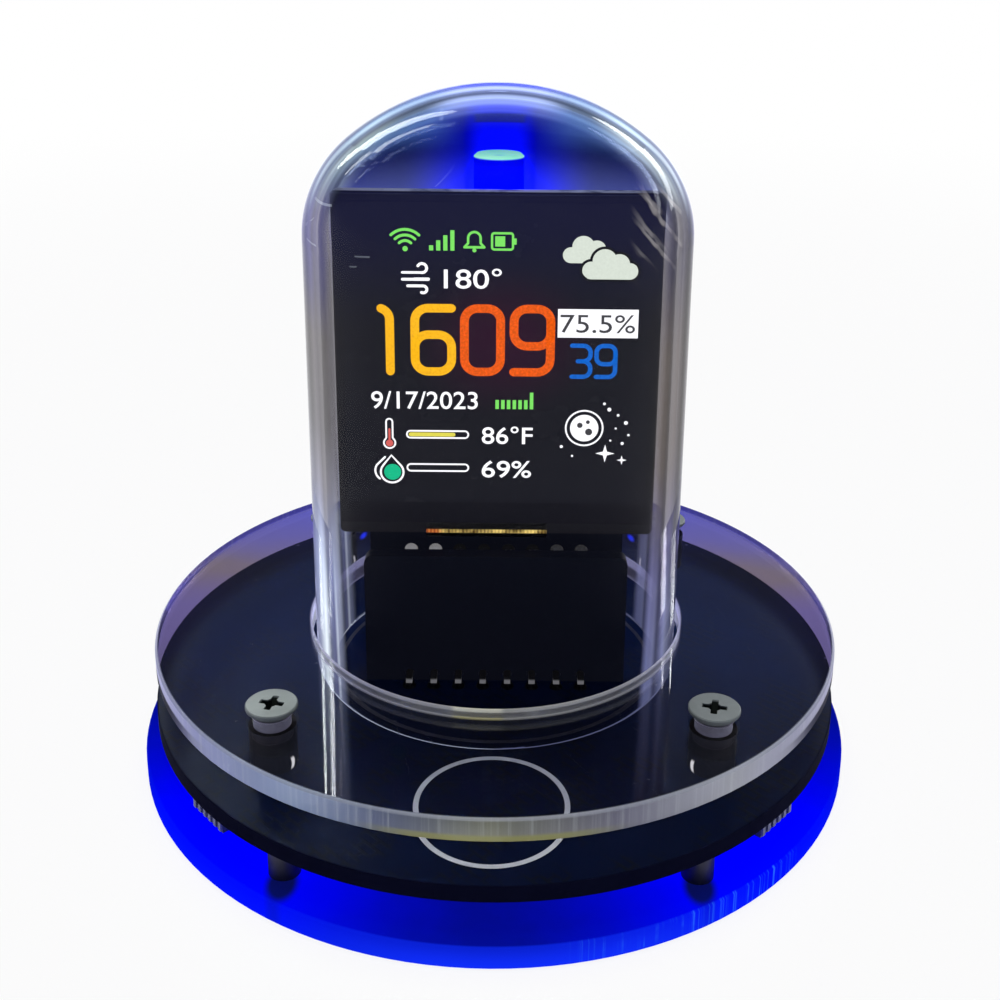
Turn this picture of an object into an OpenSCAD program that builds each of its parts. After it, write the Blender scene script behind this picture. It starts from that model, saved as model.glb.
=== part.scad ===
// Desk clock: a square display on upright boards under a glass dome,
// on a stack of two clear round plates with a round circuit board between them.
// Millimetres, Z up, origin at the centre of the bottom face, display facing -Y.

/* [Plates] */
// diameter of the clear bottom plate
bottom_plate_d = 73.6; // [73:0.2:80]
// diameter of the round circuit board
board_d = 70.8; // [70.6:0.1:72]
// diameter of the clear top plate
top_plate_d = 70.4; // [69:0.2:72]
// thickness of both clear plates
plate_t = 2.3; // [2:0.1:3]
// thickness of the round circuit board
board_t = 1.6; // [1.2:0.1:2]
// open height between the bottom plate and the board
lower_gap = 3.3; // [3.3:0.1:5]
// open height between the board and the top plate
upper_gap = 4.05; // [3:0.05:7]
// chamfer on the rims of the clear plates
rim_chamfer = 0.2; // [0.1:0.05:0.4]

/* [Fasteners] */
// distance of the four plate screws from the round board's edge
screw_inset = 6.7; // [6.6:0.1:7.4]
// diameter of a screw head
head_d = 4.8; // [4.6:0.1:5.4]
// diameter of a screw's shaft
shaft_d = 2.9; // [2.7:0.1:3]
// room for a screw's shaft in its hole in the top plate
plate_hole_room = 0.6; // [0.4:0.1:1]
// room for a screw's shaft in its hole in the circuit board
board_hole_room = 0.3; // [0.2:0.1:0.5]
// outer diameter of a sleeve between the board and the top plate
spacer_d = 4.4; // [4.2:0.1:5]
// height of a nut under the board
nut_h = 2.4; // [1.8:0.1:2.5]
// width of a nut across its flats
nut_w = 5.5; // [5:0.1:5.5]
// diameter of a pillar between the bottom plate and the board
pillar_d = 2.9; // [2.6:0.1:3.2]
// distance of the pillars from the edge of the plates they join
pillar_inset = 2.2; // [1.8:0.1:3]

/* [Dome] */
// outer diameter of the glass tube
dome_d = 37.9; // [37.4:0.1:38.4]
// thickness of the glass
dome_wall = 1.5; // [1.2:0.1:1.6]
// straight height of the tube above the board
tube_h = 46.8; // [46.4:0.2:60]
// radius of the dome's crown
crown_r = 23; // [22:0.5:26]
// radius of the shoulder between the tube and the crown
shoulder_r = 12; // [11:0.5:13]
// clearance between the tube and the hole in the top plate
dome_clearance = 0.45; // [0.3:0.05:0.7]
// height of the tube's rim above the board
dome_seat = 0.15; // [0.1:0.05:0.3]

/* [Display] */
// clearance between the display's upright edges and the inside of the tube
display_clearance = 1.26; // [1:0.02:3]
// height of the display's top edge above the tube's shoulder
display_rise = 4.45; // [2:0.05:4.6]
// thickness of the display's glass
lcd_t = 0.8; // [0.6:0.1:1]
// height of the bare ledge at the foot of the display's glass
lcd_ledge = 2; // [1.6:0.1:2.4]
// thickness of the backlight tray
tray_t = 1.1; // [0.9:0.1:1.4]
// height of the tray's lower lip below the glass
tray_lip = 1.3; // [1:0.1:1.5]
// height of the tray's lower edge above the round board
display_lift = 15.7; // [15.4:0.1:16.6]
// distance of the display's front behind the dome's axis, negative is in front
display_front = -2.4; // [-2.8:0.1:-2]
// thickness of the display's own board
display_board_t = 1.2; // [1:0.1:1.6]

/* [Upright board] */
// width of the upright board
riser_w = 26.8; // [24:0.2:28]
// height of the upright board
riser_h = 14.4; // [14:0.1:14.8]
// thickness of the upright board
riser_t = 1.6; // [1.2:0.1:1.8]
// distance of the upright board's face in front of the dome's axis
riser_front = 4.4; // [4.2:0.1:4.8]
// spacing of the pins in both rows
pin_pitch = 2.54; // [2.5:0.01:2.6]
// width of a square pin
pin_w = 0.64; // [0.5:0.02:0.66]
// number of pins in each row
pin_count = 8; // [4:1:8]

/* [Lamps] */
// diameter of the upright lamp
lamp_d = 5; // [4.6:0.1:5.2]
// height of the upright lamp's body
lamp_h = 7.5; // [6.5:0.1:8]
// clearance between the upright lamp's foot and the display's board
lamp_gap = 0.3; // [0.2:0.1:1]
// length of an edge lamp along the board's rim
edge_lamp_l = 5; // [4:0.1:5.6]
// depth of an edge lamp towards the middle
edge_lamp_w = 3; // [2.4:0.1:3]
// height of an edge lamp
edge_lamp_h = 1.4; // [1:0.1:1.8]

/* [Power socket] */
// width of the socket's shell
socket_w = 8.94; // [8.6:0.02:9.2]
// height of the socket's shell
socket_h = 3.16; // [2.9:0.02:3.2]
// depth of the socket's shell
socket_l = 7.3; // [6.6:0.1:8]
// thickness of the socket's sheet metal
socket_wall = 0.3; // [0.25:0.05:0.4]

/* [Hidden] */
$fn = 96;
cut = 1;
bottom_r = bottom_plate_d / 2;
board_r = board_d / 2;
top_r = top_plate_d / 2;
board_z = plate_t + lower_gap;
board_top = board_z + board_t;
top_z = board_top + upper_gap;
top_face = top_z + plate_t;
// dome
dome_r = dome_d / 2;
bore_r = dome_r - dome_wall;
dome_hole_r = dome_r + dome_clearance;
dome_z = board_top + dome_seat;
shoulder_z = dome_z + tube_h;
// screws, with the head's cone seated on the rim of its hole
screw_r = board_r - screw_inset;
plate_hole_d = shaft_d + plate_hole_room;
board_hole_d = shaft_d + board_hole_room;
seat_room = 0.02;
head_lift = (head_d - plate_hole_d) / 2 + seat_room;
head_rim = 0.35;
head_edge = 0.1;
head_top = top_face + head_lift + head_rim;
tip_room = 0.3;
tip_chamfer = 0.3;
screw_tip = plate_t + tip_room;
recess_w = 0.62;
recess_h = 1.1;
nut_room = 0.1;
nut_edge = 0.35;
// pillars stand near the rim, off the lamps and the screws
pillar_r = min(bottom_r, board_r) - pillar_inset;
pillar_a = 33.5;
peg_d = 1.8;
peg_h = 1.4;
peg_room = 0.1;
// display stack, front to back
film_t = 0.1;
film_side = 0.9;
film_foot = 0.5;
film_top = 0.7;
tray_side = 0.15;
tray_top = 0.2;
tray_corner = 0.6;
glass_y = display_front + film_t;
tray_y = glass_y + lcd_t;
tray_w = 2 * sqrt(pow(bore_r - display_clearance, 2) - tray_y * tray_y);
tray_z = board_top + display_lift;
tray_h = shoulder_z + display_rise - tray_z;
lcd_w = tray_w - 2 * tray_side;
lcd_z = tray_z + tray_lip;
lcd_h = tray_h - tray_lip - tray_top;
film_w = lcd_w - 2 * film_side;
film_z = lcd_z + lcd_ledge + film_foot;
film_h = lcd_z + lcd_h - film_top - film_z;
display_board_y = tray_y + tray_t;
display_back = display_board_y + display_board_t;
display_board_side = 0.25;
display_board_top = 0.4;
display_board_w = lcd_w - 2 * display_board_side;
tongue_w = 26.4;
tongue_foot = 1.8;
tongue_corner = 1;
// pins
pin_hole_room = 0.1;
pin_hole_d = pin_w * sqrt(2) + pin_hole_room;
riser_corner = 0.9;
pin_top = 1.2;
pin_tail = 0.8;
riser_back = riser_t - riser_front;
pin_row_z = board_top + riser_h - pin_top;
tongue_z = pin_row_z - tongue_foot;
foot_pin_reach = 0.9;
foot_pin_top = 0.9;
foot_pin_y = -riser_front - foot_pin_reach;
foot_pin_z = board_top + foot_pin_top;
foot_pin_tail = 1;
foot_pin_tip = board_z - foot_pin_tail;
joint_reach = 0.2;
joint_r = pin_hole_d / 2 + joint_reach;
joint_h = 0.5;
// flexible circuit
flex_w = 12.4;
flex_x = -1;
flex_t = 0.15;
flex_r = tray_t / 2;
// upright lamp
lamp_rise = 2.8;
lamp_top = tray_z + tray_h + lamp_rise;
lamp_z = lamp_top - lamp_h;
lamp_rim = 0.4;
lamp_rim_h = 1;
lamp_edge = 0.3;
lamp_lip = 0.4;
lamp_hollow = 0.5;
lamp_rim_d = lamp_d + 2 * lamp_rim;
lamp_back = display_back + lamp_gap + lamp_rim_d / 2;
lamp_wire_d = 0.5;
lamp_wire_x = 1.27;
lamp_wire_drop = 0.7;
lamp_wire_z = lamp_z - lamp_wire_drop;
// radio module on the back of the display's board, below the lamp's wires
module_w = 16;
module_l = 24;
module_t = 0.8;
module_room = 0.55;
module_z = lamp_wire_z - lamp_wire_d / 2 - module_room - module_l;
half_hole_d = 0.8;
half_hole_pitch = 2;
half_hole_foot = 1.5;
can_w = 12;
can_l = 15;
can_h = 2.2;
can_foot = 1;
can_corner = 0.9;
can_edge = 0.3;
// edge lamps
edge_lamp_a = 42;
edge_lamp_inset = 0.3;
edge_lamp_r = board_r - edge_lamp_inset;
cup_h = 0.5;
lead_count = 6;
lead_pitch = edge_lamp_l * 0.18;
lead_w = 0.42;
lead_t = 0.2;
lead_foot = 0.2;
// socket, set in a notch in the round board's edge
socket_room = 0.15;
socket_y = board_r - socket_l;
socket_z = board_z + board_t / 2;
socket_back = 0.8;
socket_tab_w = 1.2;
socket_tab_l = 1.6;
tongue_plate_w = 6.7;
tongue_plate_t = 0.7;
tongue_plate_back = 1.2;
// touch circle, which meets the tube's foot
touch_r = 7;
touch_y = -dome_r - touch_r;
// small parts under the board, set out from the socket
part_gap = 1;
chip_lead_w = 0.4;
chip_lead_l = 0.8;
chip_lead_t = 0.2;
chip_lift = 0.1;
touch_chip_l = 2.9;
touch_chip_w = 1.6;
touch_chip_h = 1.1;
touch_chip_pitch = 0.95;
regulator_l = 6.5;
regulator_w = 3.5;
regulator_h = 1.6;
regulator_pitch = 2.3;
cap_l = 3.2;
cap_w = 1.6;
cap_h = 1.2;
cap_end = 0.5;
cap_lip = 0.06;
resistor_l = 2;
resistor_w = 1.25;
resistor_h = 0.5;
resistor_gap = 1.15;
part_y = socket_y - part_gap - regulator_w / 2 - chip_lead_l;
regulator_x = -regulator_l / 2 - part_gap / 2;
side_cap_x = socket_w / 2 + part_gap + cap_w;
end_cap_x = regulator_l + 1.5 * part_gap + cap_w / 2;
resistor_x = (resistor_w + part_gap) / 2;

// places something at the four screws
module at_screws() {
  for (quarter = [0 : 3])
    rotate([0, 0, 45 + 90 * quarter])
      translate([screw_r, 0, 0])
        children();
}

// places something at the four pillars
module at_pillars() {
  for (side = [-1, 1])
    for (end = [-1, 1])
      translate([side * pillar_r * sin(pillar_a), end * pillar_r * cos(pillar_a), 0])
        children();
}

// places something at each pin of a row
module at_pins() {
  for (number = [0 : pin_count - 1])
    translate([(number - (pin_count - 1) / 2) * pin_pitch, 0, 0])
      children();
}

// half profile of a clear plate with chamfered rims
module plate_profile(outer, inner) {
  polygon([
    [inner, 0],
    [outer - rim_chamfer, 0],
    [outer, rim_chamfer],
    [outer, plate_t - rim_chamfer],
    [outer - rim_chamfer, plate_t],
    [inner, plate_t]
  ]);
}

module bottom_plate() {
  color([0.35, 0.5, 1, 0.6])
    difference() {
      rotate_extrude()
        plate_profile(bottom_r, 0);
      at_pillars()
        translate([0, 0, plate_t - peg_h - peg_room])
          cylinder(d = peg_d + 2 * peg_room, h = peg_h + cut);
    }
}

// each pillar has a peg in the bottom plate and a flat head under the board
module lower_pillars() {
  color([0.25, 0.27, 0.32])
    at_pillars()
      union() {
        translate([0, 0, plate_t])
          cylinder(d = pillar_d, h = lower_gap);
        translate([0, 0, plate_t - peg_h])
          cylinder(d = peg_d, h = peg_h + lower_gap / 2);
      }
}

module base_board() {
  color([0.03, 0.03, 0.05])
    difference() {
      translate([0, 0, board_z])
        cylinder(r = board_r, h = board_t, $fn = 180);
      at_screws()
        translate([0, 0, board_z - cut])
          cylinder(d = board_hole_d, h = board_t + 2 * cut);
      at_pins()
        translate([0, foot_pin_y, board_z - cut])
          cylinder(d = pin_hole_d, h = board_t + 2 * cut);
      translate([-socket_w / 2 - socket_room, socket_y - socket_room, board_z - cut])
        cube([socket_w + 2 * socket_room, socket_l + board_r, board_t + 2 * cut]);
    }
}

// places something on the underside of the board at the four edge lamps
module at_edge_lamps() {
  for (side = [0, 180])
    for (end = [-1, 1])
      rotate([0, 0, side + end * edge_lamp_a])
        translate([edge_lamp_r, 0, board_z])
          children();
}

// each lamp is a small box with a sloped cup that opens downwards
module base_leds() {
  color([0.9, 0.92, 0.95])
    at_edge_lamps()
      difference() {
        translate([-edge_lamp_w - lead_t, -edge_lamp_l / 2, -edge_lamp_h])
          cube([edge_lamp_w, edge_lamp_l, edge_lamp_h]);
        translate([-edge_lamp_w / 2 - lead_t, 0, -edge_lamp_h])
          cylinder(r1 = edge_lamp_w * 0.4, r2 = edge_lamp_w * 0.3, h = cup_h);
      }
}

module led_leads() {
  color([0.8, 0.8, 0.78])
    at_edge_lamps()
      for (number = [0 : lead_count - 1])
        translate([-lead_t, (number - (lead_count - 1) / 2) * lead_pitch - lead_w / 2,
                   lead_foot - edge_lamp_h])
          cube([lead_t, lead_w, edge_lamp_h - lead_foot]);
}

module screw_nuts() {
  color([0.75, 0.76, 0.78])
    at_screws()
      difference() {
        intersection() {
          translate([0, 0, board_z - nut_h])
            rotate([0, 0, 30])
              cylinder(d = nut_w / cos(30), h = nut_h, $fn = 6);
          translate([0, 0, board_z - nut_h])
            cylinder(d1 = nut_w, d2 = nut_w + 2 * nut_h / tan(30), h = nut_h);
        }
        translate([0, 0, board_z - nut_h - cut])
          cylinder(d = shaft_d + nut_room, h = nut_h + 2 * cut);
      }
}

module upper_spacers() {
  color([0.16, 0.11, 0.1])
    at_screws()
      difference() {
        translate([0, 0, board_top])
          cylinder(d = spacer_d, h = upper_gap);
        translate([0, 0, board_top - cut])
          cylinder(d = board_hole_d, h = upper_gap + 2 * cut);
      }
}

module top_plate() {
  color([0.8, 0.85, 0.95, 0.4])
    difference() {
      translate([0, 0, top_z])
        rotate_extrude($fn = 180)
          plate_profile(top_r, dome_hole_r);
      at_screws()
        translate([0, 0, top_z - cut])
          cylinder(d = plate_hole_d, h = plate_t + 2 * cut);
    }
}

// cross-shaped driver recess, cut down from the head's top
module cross_recess() {
  recess_l = head_d * 0.54;
  intersection() {
    union() {
      translate([-recess_l / 2, -recess_w / 2, -recess_h])
        cube([recess_l, recess_w, recess_h + cut]);
      translate([-recess_w / 2, -recess_l / 2, -recess_h])
        cube([recess_w, recess_l, recess_h + cut]);
      translate([0, 0, -recess_h])
        cylinder(d = recess_w * 2, h = recess_h + cut);
    }
    translate([0, 0, -recess_h])
      cylinder(d1 = recess_w * 1.8, d2 = recess_l * 1.35, h = recess_h + cut);
  }
}

module plate_screws() {
  color([0.72, 0.75, 0.74])
    at_screws()
      difference() {
        rotate_extrude()
          polygon([
            [0, screw_tip],
            [shaft_d / 2 - tip_chamfer, screw_tip],
            [shaft_d / 2, screw_tip + tip_chamfer],
            [shaft_d / 2, top_face + head_lift - (head_d - shaft_d) / 2],
            [head_d / 2, top_face + head_lift],
            [head_d / 2, head_top - head_edge],
            [head_d / 2 - head_edge, head_top],
            [0, head_top]
          ]);
        translate([0, 0, head_top])
          rotate([0, 0, 32])
            cross_recess();
      }
}

// filled half profile of the dome, drawn in from its outer face by an amount
module dome_profile(inset) {
  tube_r = dome_r - inset;
  knuckle_r = shoulder_r - inset;
  knuckle_x = dome_r - shoulder_r;
  arc_r = crown_r - inset;
  drop = sqrt((crown_r - shoulder_r) * (crown_r - shoulder_r) - knuckle_x * knuckle_x);
  reach = 2 * crown_r / drop;
  translate([0, dome_z])
    square([tube_r, tube_h]);
  translate([knuckle_x, shoulder_z])
    intersection() {
      circle(r = knuckle_r);
      square([knuckle_r + cut, knuckle_r + cut]);
    }
  intersection() {
    translate([0, shoulder_z - drop])
      circle(r = arc_r);
    polygon([
      [0, shoulder_z - drop],
      [knuckle_x * reach, shoulder_z - drop + drop * reach],
      [0, shoulder_z - drop + drop * reach]
    ]);
  }
}

// glass tube with a closed round top and a round fused lower rim
module glass_dome() {
  color([0.85, 0.9, 0.95, 0.3])
    union() {
      rotate_extrude($fn = 180)
        difference() {
          intersection() {
            dome_profile(0);
            translate([0, dome_z + dome_wall / 2])
              square([dome_r + cut, dome_d + tube_h]);
          }
          dome_profile(dome_wall);
        }
      rotate_extrude($fn = 180)
        translate([dome_r - dome_wall / 2, dome_z + dome_wall / 2])
          circle(d = dome_wall);
    }
}

// rectangle with round corners, centred on its foot
module round_rectangle(wide, high, corner) {
  translate([-wide / 2 + corner, 0])
    square([wide - 2 * corner, high]);
  translate([-wide / 2, corner])
    square([wide, high - 2 * corner]);
  for (side = [-1, 1])
    for (level = [corner, high - corner])
      translate([side * (wide / 2 - corner), level])
        circle(r = corner, $fn = 32);
}

// upright sheet with round corners: size, its front face and its foot
module upright(size, front, foot, corner) {
  translate([0, front + size[1], foot])
    rotate([90, 0, 0])
      linear_extrude(height = size[1])
        round_rectangle(size[0], size[2], corner);
}

module riser_board() {
  color([0.03, 0.03, 0.05])
    difference() {
      union() {
        upright([riser_w, riser_t, riser_h], -riser_front, board_top, riser_corner);
        translate([-riser_w / 2, -riser_front, board_top])
          cube([riser_w, riser_t, riser_h / 2]);
      }
      at_pins()
        translate([0, riser_back + cut, pin_row_z])
          rotate([90, 0, 0])
            cylinder(d = pin_hole_d, h = riser_t / 2 + cut);
      at_pins()
        translate([0, riser_back + cut, foot_pin_z])
          rotate([90, 0, 0])
            cylinder(d = pin_hole_d, h = riser_t + 2 * cut);
    }
}

// bent pins from the upright board's foot down through the round board
module riser_pins() {
  color([0.85, 0.85, 0.82])
    at_pins()
      union() {
        translate([-pin_w / 2, foot_pin_y - pin_w / 2, foot_pin_z - pin_w / 2])
          cube([pin_w, riser_back - foot_pin_y + pin_w / 2, pin_w]);
        translate([-pin_w / 2, foot_pin_y - pin_w / 2, foot_pin_tip])
          cube([pin_w, pin_w, foot_pin_z - foot_pin_tip]);
      }
}

// solder cones round the pins on top of the round board
module riser_joints() {
  color([0.8, 0.8, 0.8])
    at_pins()
      difference() {
        translate([0, foot_pin_y, board_top])
          cylinder(r1 = joint_r, r2 = joint_r * 0.72, h = joint_h);
        translate([-pin_w / 2, foot_pin_y - pin_w / 2, board_top - cut])
          cube([pin_w, pin_w, 2 * cut + joint_h]);
      }
}

module display_board() {
  color([0.03, 0.04, 0.05])
    difference() {
      union() {
        upright([display_board_w, display_board_t, tray_h - display_board_top],
                display_board_y, tray_z, tray_corner);
        upright([tongue_w, display_board_t, tray_z - tongue_z + tray_h / 2],
                display_board_y, tongue_z, tongue_corner);
      }
      at_pins()
        translate([0, display_back + cut, pin_row_z])
          rotate([90, 0, 0])
            cylinder(d = pin_hole_d, h = display_board_t + 2 * cut);
    }
}

// straight pins from the upright board through the display's board
module display_pins() {
  color([0.85, 0.85, 0.82])
    at_pins()
      translate([-pin_w / 2, riser_back - riser_t / 2 + pin_hole_room, pin_row_z - pin_w / 2])
        cube([pin_w, display_back + pin_tail - riser_back + riser_t / 2 - pin_hole_room, pin_w]);
}

// solder domes on the front of the display's board
module display_joints() {
  color([0.85, 0.85, 0.84])
    at_pins()
      difference() {
        intersection() {
          translate([0, display_board_y, pin_row_z])
            sphere(r = joint_r, $fn = 32);
          translate([-joint_r, display_board_y - joint_r - cut, pin_row_z - joint_r])
            cube([2 * joint_r, joint_r + cut, 2 * joint_r]);
        }
        translate([-pin_w / 2, display_board_y - joint_r - cut, pin_row_z - pin_w / 2])
          cube([pin_w, joint_r + 2 * cut, pin_w]);
      }
}

module backlight_tray() {
  color([0.1, 0.1, 0.11])
    upright([tray_w, tray_t, tray_h], tray_y, tray_z, tray_corner);
}

// two sheets of glass, the rear one longer so that it leaves a ledge at the foot
module lcd_glass() {
  color([0.08, 0.08, 0.1])
    union() {
      translate([-lcd_w / 2, glass_y + lcd_t / 2, lcd_z])
        cube([lcd_w, lcd_t / 2, lcd_h]);
      translate([-lcd_w / 2, glass_y, lcd_z + lcd_ledge])
        cube([lcd_w, lcd_t, lcd_h - lcd_ledge]);
    }
}

module polarizer() {
  color([0.05, 0.05, 0.07])
    translate([-film_w / 2, display_front, film_z])
      cube([film_w, film_t, film_h]);
}

// runs down over the tray's lip and folds back under it to the display's board
module flex_cable() {
  color([0.75, 0.55, 0.15])
    translate([flex_x - flex_w / 2, 0, 0])
      rotate([90, 0, 90])
        linear_extrude(height = flex_w)
          union() {
            translate([tray_y - flex_t, tray_z])
              square([flex_t, tray_lip]);
            translate([tray_y + flex_r - flex_t / 2, tray_z])
              difference() {
                circle(r = flex_r + flex_t / 2);
                circle(r = flex_r - flex_t / 2);
                translate([-flex_r - cut, 0])
                  square([2 * flex_r + 2 * cut, flex_r + cut]);
              }
          }
}

// round lamp with a flat top and a foot rim
module up_light() {
  color([0.3, 0.5, 1, 0.8])
    translate([0, lamp_back, lamp_z])
      rotate_extrude()
        polygon([
          [0, 0],
          [lamp_rim_d / 2, 0],
          [lamp_rim_d / 2, lamp_rim_h],
          [lamp_d / 2, lamp_rim_h],
          [lamp_d / 2, lamp_h - lamp_edge],
          [lamp_d / 2 - lamp_edge, lamp_h],
          [lamp_d / 2 - lamp_edge - lamp_lip, lamp_h],
          [0, lamp_h - lamp_hollow]
        ]);
}

// wires bent from the lamp's foot to the back of the display's board
module up_light_leads() {
  color([0.8, 0.8, 0.78])
    for (side = [-1, 1])
      union() {
        translate([side * lamp_wire_x, lamp_back, lamp_wire_z])
          cylinder(d = lamp_wire_d, h = lamp_z - lamp_wire_z, $fn = 24);
        translate([side * lamp_wire_x, lamp_back, lamp_wire_z])
          sphere(d = lamp_wire_d, $fn = 24);
        translate([side * lamp_wire_x, lamp_back, lamp_wire_z])
          rotate([90, 0, 0])
            cylinder(d = lamp_wire_d, h = lamp_back - display_back, $fn = 24);
      }
}

// radio module: small board with a row of half holes down both long sides
module radio_module() {
  color([0.05, 0.06, 0.08])
    difference() {
      translate([-module_w / 2, display_back, module_z])
        cube([module_w, module_t, module_l]);
      for (side = [-1, 1])
        for (number = [0 : 7])
          translate([side * module_w / 2, display_back - cut,
                     module_z + half_hole_foot + half_hole_pitch * number])
            rotate([-90, 0, 0])
              cylinder(d = half_hole_d, h = module_t + 2 * cut, $fn = 24);
    }
}

// pressed can: round corners, and a lid drawn in from its walls
module shield_can() {
  can_y = display_back + module_t;
  can_z = module_z + can_foot;
  color([0.75, 0.76, 0.78])
    union() {
      upright([can_w, can_h - can_edge, can_l], can_y, can_z, can_corner);
      upright([can_w - 2 * can_edge, can_h, can_l - 2 * can_edge],
              can_y, can_z + can_edge, can_corner - can_edge);
    }
}

// rounded outline of the socket, drawn in by an amount
module socket_outline(inset) {
  end_r = socket_h / 2 - inset;
  straight = socket_w - socket_h;
  translate([-straight / 2, -end_r])
    square([straight, 2 * end_r]);
  for (side = [-1, 1])
    translate([side * straight / 2, 0])
      circle(r = end_r, $fn = 48);
}

// drawn metal shell, open at the rim, with four tabs that lie on the board
module usb_shell() {
  color([0.78, 0.78, 0.8])
    difference() {
      union() {
        translate([0, board_r, socket_z])
          rotate([90, 0, 0])
            linear_extrude(height = socket_l)
              socket_outline(0);
        for (side = [-1, 1])
          for (reach = [socket_back, socket_l - socket_back - socket_tab_l])
            translate([side * socket_w / 4 + side * socket_tab_w / 2 - socket_w / 4 - socket_tab_w / 2,
                       socket_y + reach, board_top])
              cube([socket_w / 2 + socket_tab_w, socket_tab_l, socket_wall]);
      }
      translate([0, board_r + cut, socket_z])
        rotate([90, 0, 0])
          linear_extrude(height = socket_l - socket_back + cut)
            socket_outline(socket_wall);
    }
}

module usb_tongue() {
  color([0.06, 0.06, 0.07])
    translate([-tongue_plate_w / 2, socket_y + socket_back, socket_z - tongue_plate_t / 2])
      cube([tongue_plate_w, socket_l - socket_back - tongue_plate_back, tongue_plate_t]);
}

// small chip body with a row of leads on each long side, hung under the board
module small_chip(size_x, size_y, size_z, leads, pitch) {
  translate([-size_x / 2, -size_y / 2, -size_z])
    cube([size_x, size_y, size_z - chip_lift]);
  for (side = [-1, 1])
    for (number = [0 : leads - 1])
      translate([(number - (leads - 1) / 2) * pitch - chip_lead_w / 2,
                 side * (size_y + chip_lead_l) / 2 - side * chip_lift - chip_lead_l / 2, -chip_lead_t])
        cube([chip_lead_w, chip_lead_l, chip_lead_t]);
}

module touch_chip() {
  color([0.06, 0.06, 0.07])
    translate([0, touch_y, board_z])
      union()
        small_chip(touch_chip_l, touch_chip_w, touch_chip_h, 3, touch_chip_pitch);
}

module regulator() {
  color([0.06, 0.06, 0.07])
    translate([regulator_x, part_y, board_z])
      union()
        small_chip(regulator_l, regulator_w, regulator_h, 3, regulator_pitch);
}

// block with a raised metal cap at both ends, hung under the board
module chip_block(wide, long, high, end, lip) {
  translate([-wide / 2 + lip, -long / 2 + lip, lip - high])
    cube([wide - 2 * lip, long - 2 * lip, high - lip]);
  for (side = [0, 1])
    translate([-wide / 2, -long / 2 + side * (long - end), -high])
      cube([wide, end, high]);
}

module chip_capacitors() {
  color([0.6, 0.5, 0.36]) {
    for (side = [-1, 1])
      translate([side * (side_cap_x - cap_w / 2), socket_y + cap_l / 2, board_z])
        union()
          chip_block(cap_w, cap_l, cap_h, cap_end, cap_lip);
    for (side = [-1, 1])
      translate([side * end_cap_x, part_y, board_z])
        union()
          chip_block(cap_w, cap_l, cap_h, cap_end, cap_lip);
  }
}

module chip_resistors() {
  color([0.1, 0.1, 0.11])
    for (number = [0 : 2])
      translate([resistor_x + (resistor_w + resistor_gap) * number, part_y, board_z])
        union()
          chip_block(resistor_w, resistor_l, resistor_h, cap_end * 0.8, cap_lip / 2);
}

bottom_plate();
lower_pillars();
base_board();
base_leds();
led_leads();
screw_nuts();
upper_spacers();
top_plate();
plate_screws();
glass_dome();
riser_board();
riser_pins();
riser_joints();
display_board();
display_pins();
display_joints();
backlight_tray();
lcd_glass();
polarizer();
flex_cable();
up_light();
up_light_leads();
radio_module();
shield_can();
usb_shell();
usb_tongue();
touch_chip();
regulator();
chip_capacitors();
chip_resistors();
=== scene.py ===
import math

import bmesh
import bpy
from mathutils import Matrix, Vector


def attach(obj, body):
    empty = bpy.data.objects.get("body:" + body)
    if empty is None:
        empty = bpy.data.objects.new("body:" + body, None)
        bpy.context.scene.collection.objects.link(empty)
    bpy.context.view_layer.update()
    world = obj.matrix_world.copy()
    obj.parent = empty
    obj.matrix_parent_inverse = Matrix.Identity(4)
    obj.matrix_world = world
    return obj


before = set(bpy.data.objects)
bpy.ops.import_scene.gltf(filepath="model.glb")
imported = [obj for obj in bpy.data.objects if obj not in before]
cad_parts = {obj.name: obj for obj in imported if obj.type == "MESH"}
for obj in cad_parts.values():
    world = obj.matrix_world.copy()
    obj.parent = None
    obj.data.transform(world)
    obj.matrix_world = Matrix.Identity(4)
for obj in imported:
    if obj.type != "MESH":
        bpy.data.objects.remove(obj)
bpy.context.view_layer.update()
mm = 0.001
black = (0.0, 0.0, 0.0)
screwAt = 20.3  # screws, sleeves and holes stand this far out, across and in depth
paintedCoolBand = (44.0, 58.0)  # between these heights painted light turns the panel's black bluish
print("frame loaded:", len(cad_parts), "nodes")


# node helpers

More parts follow.
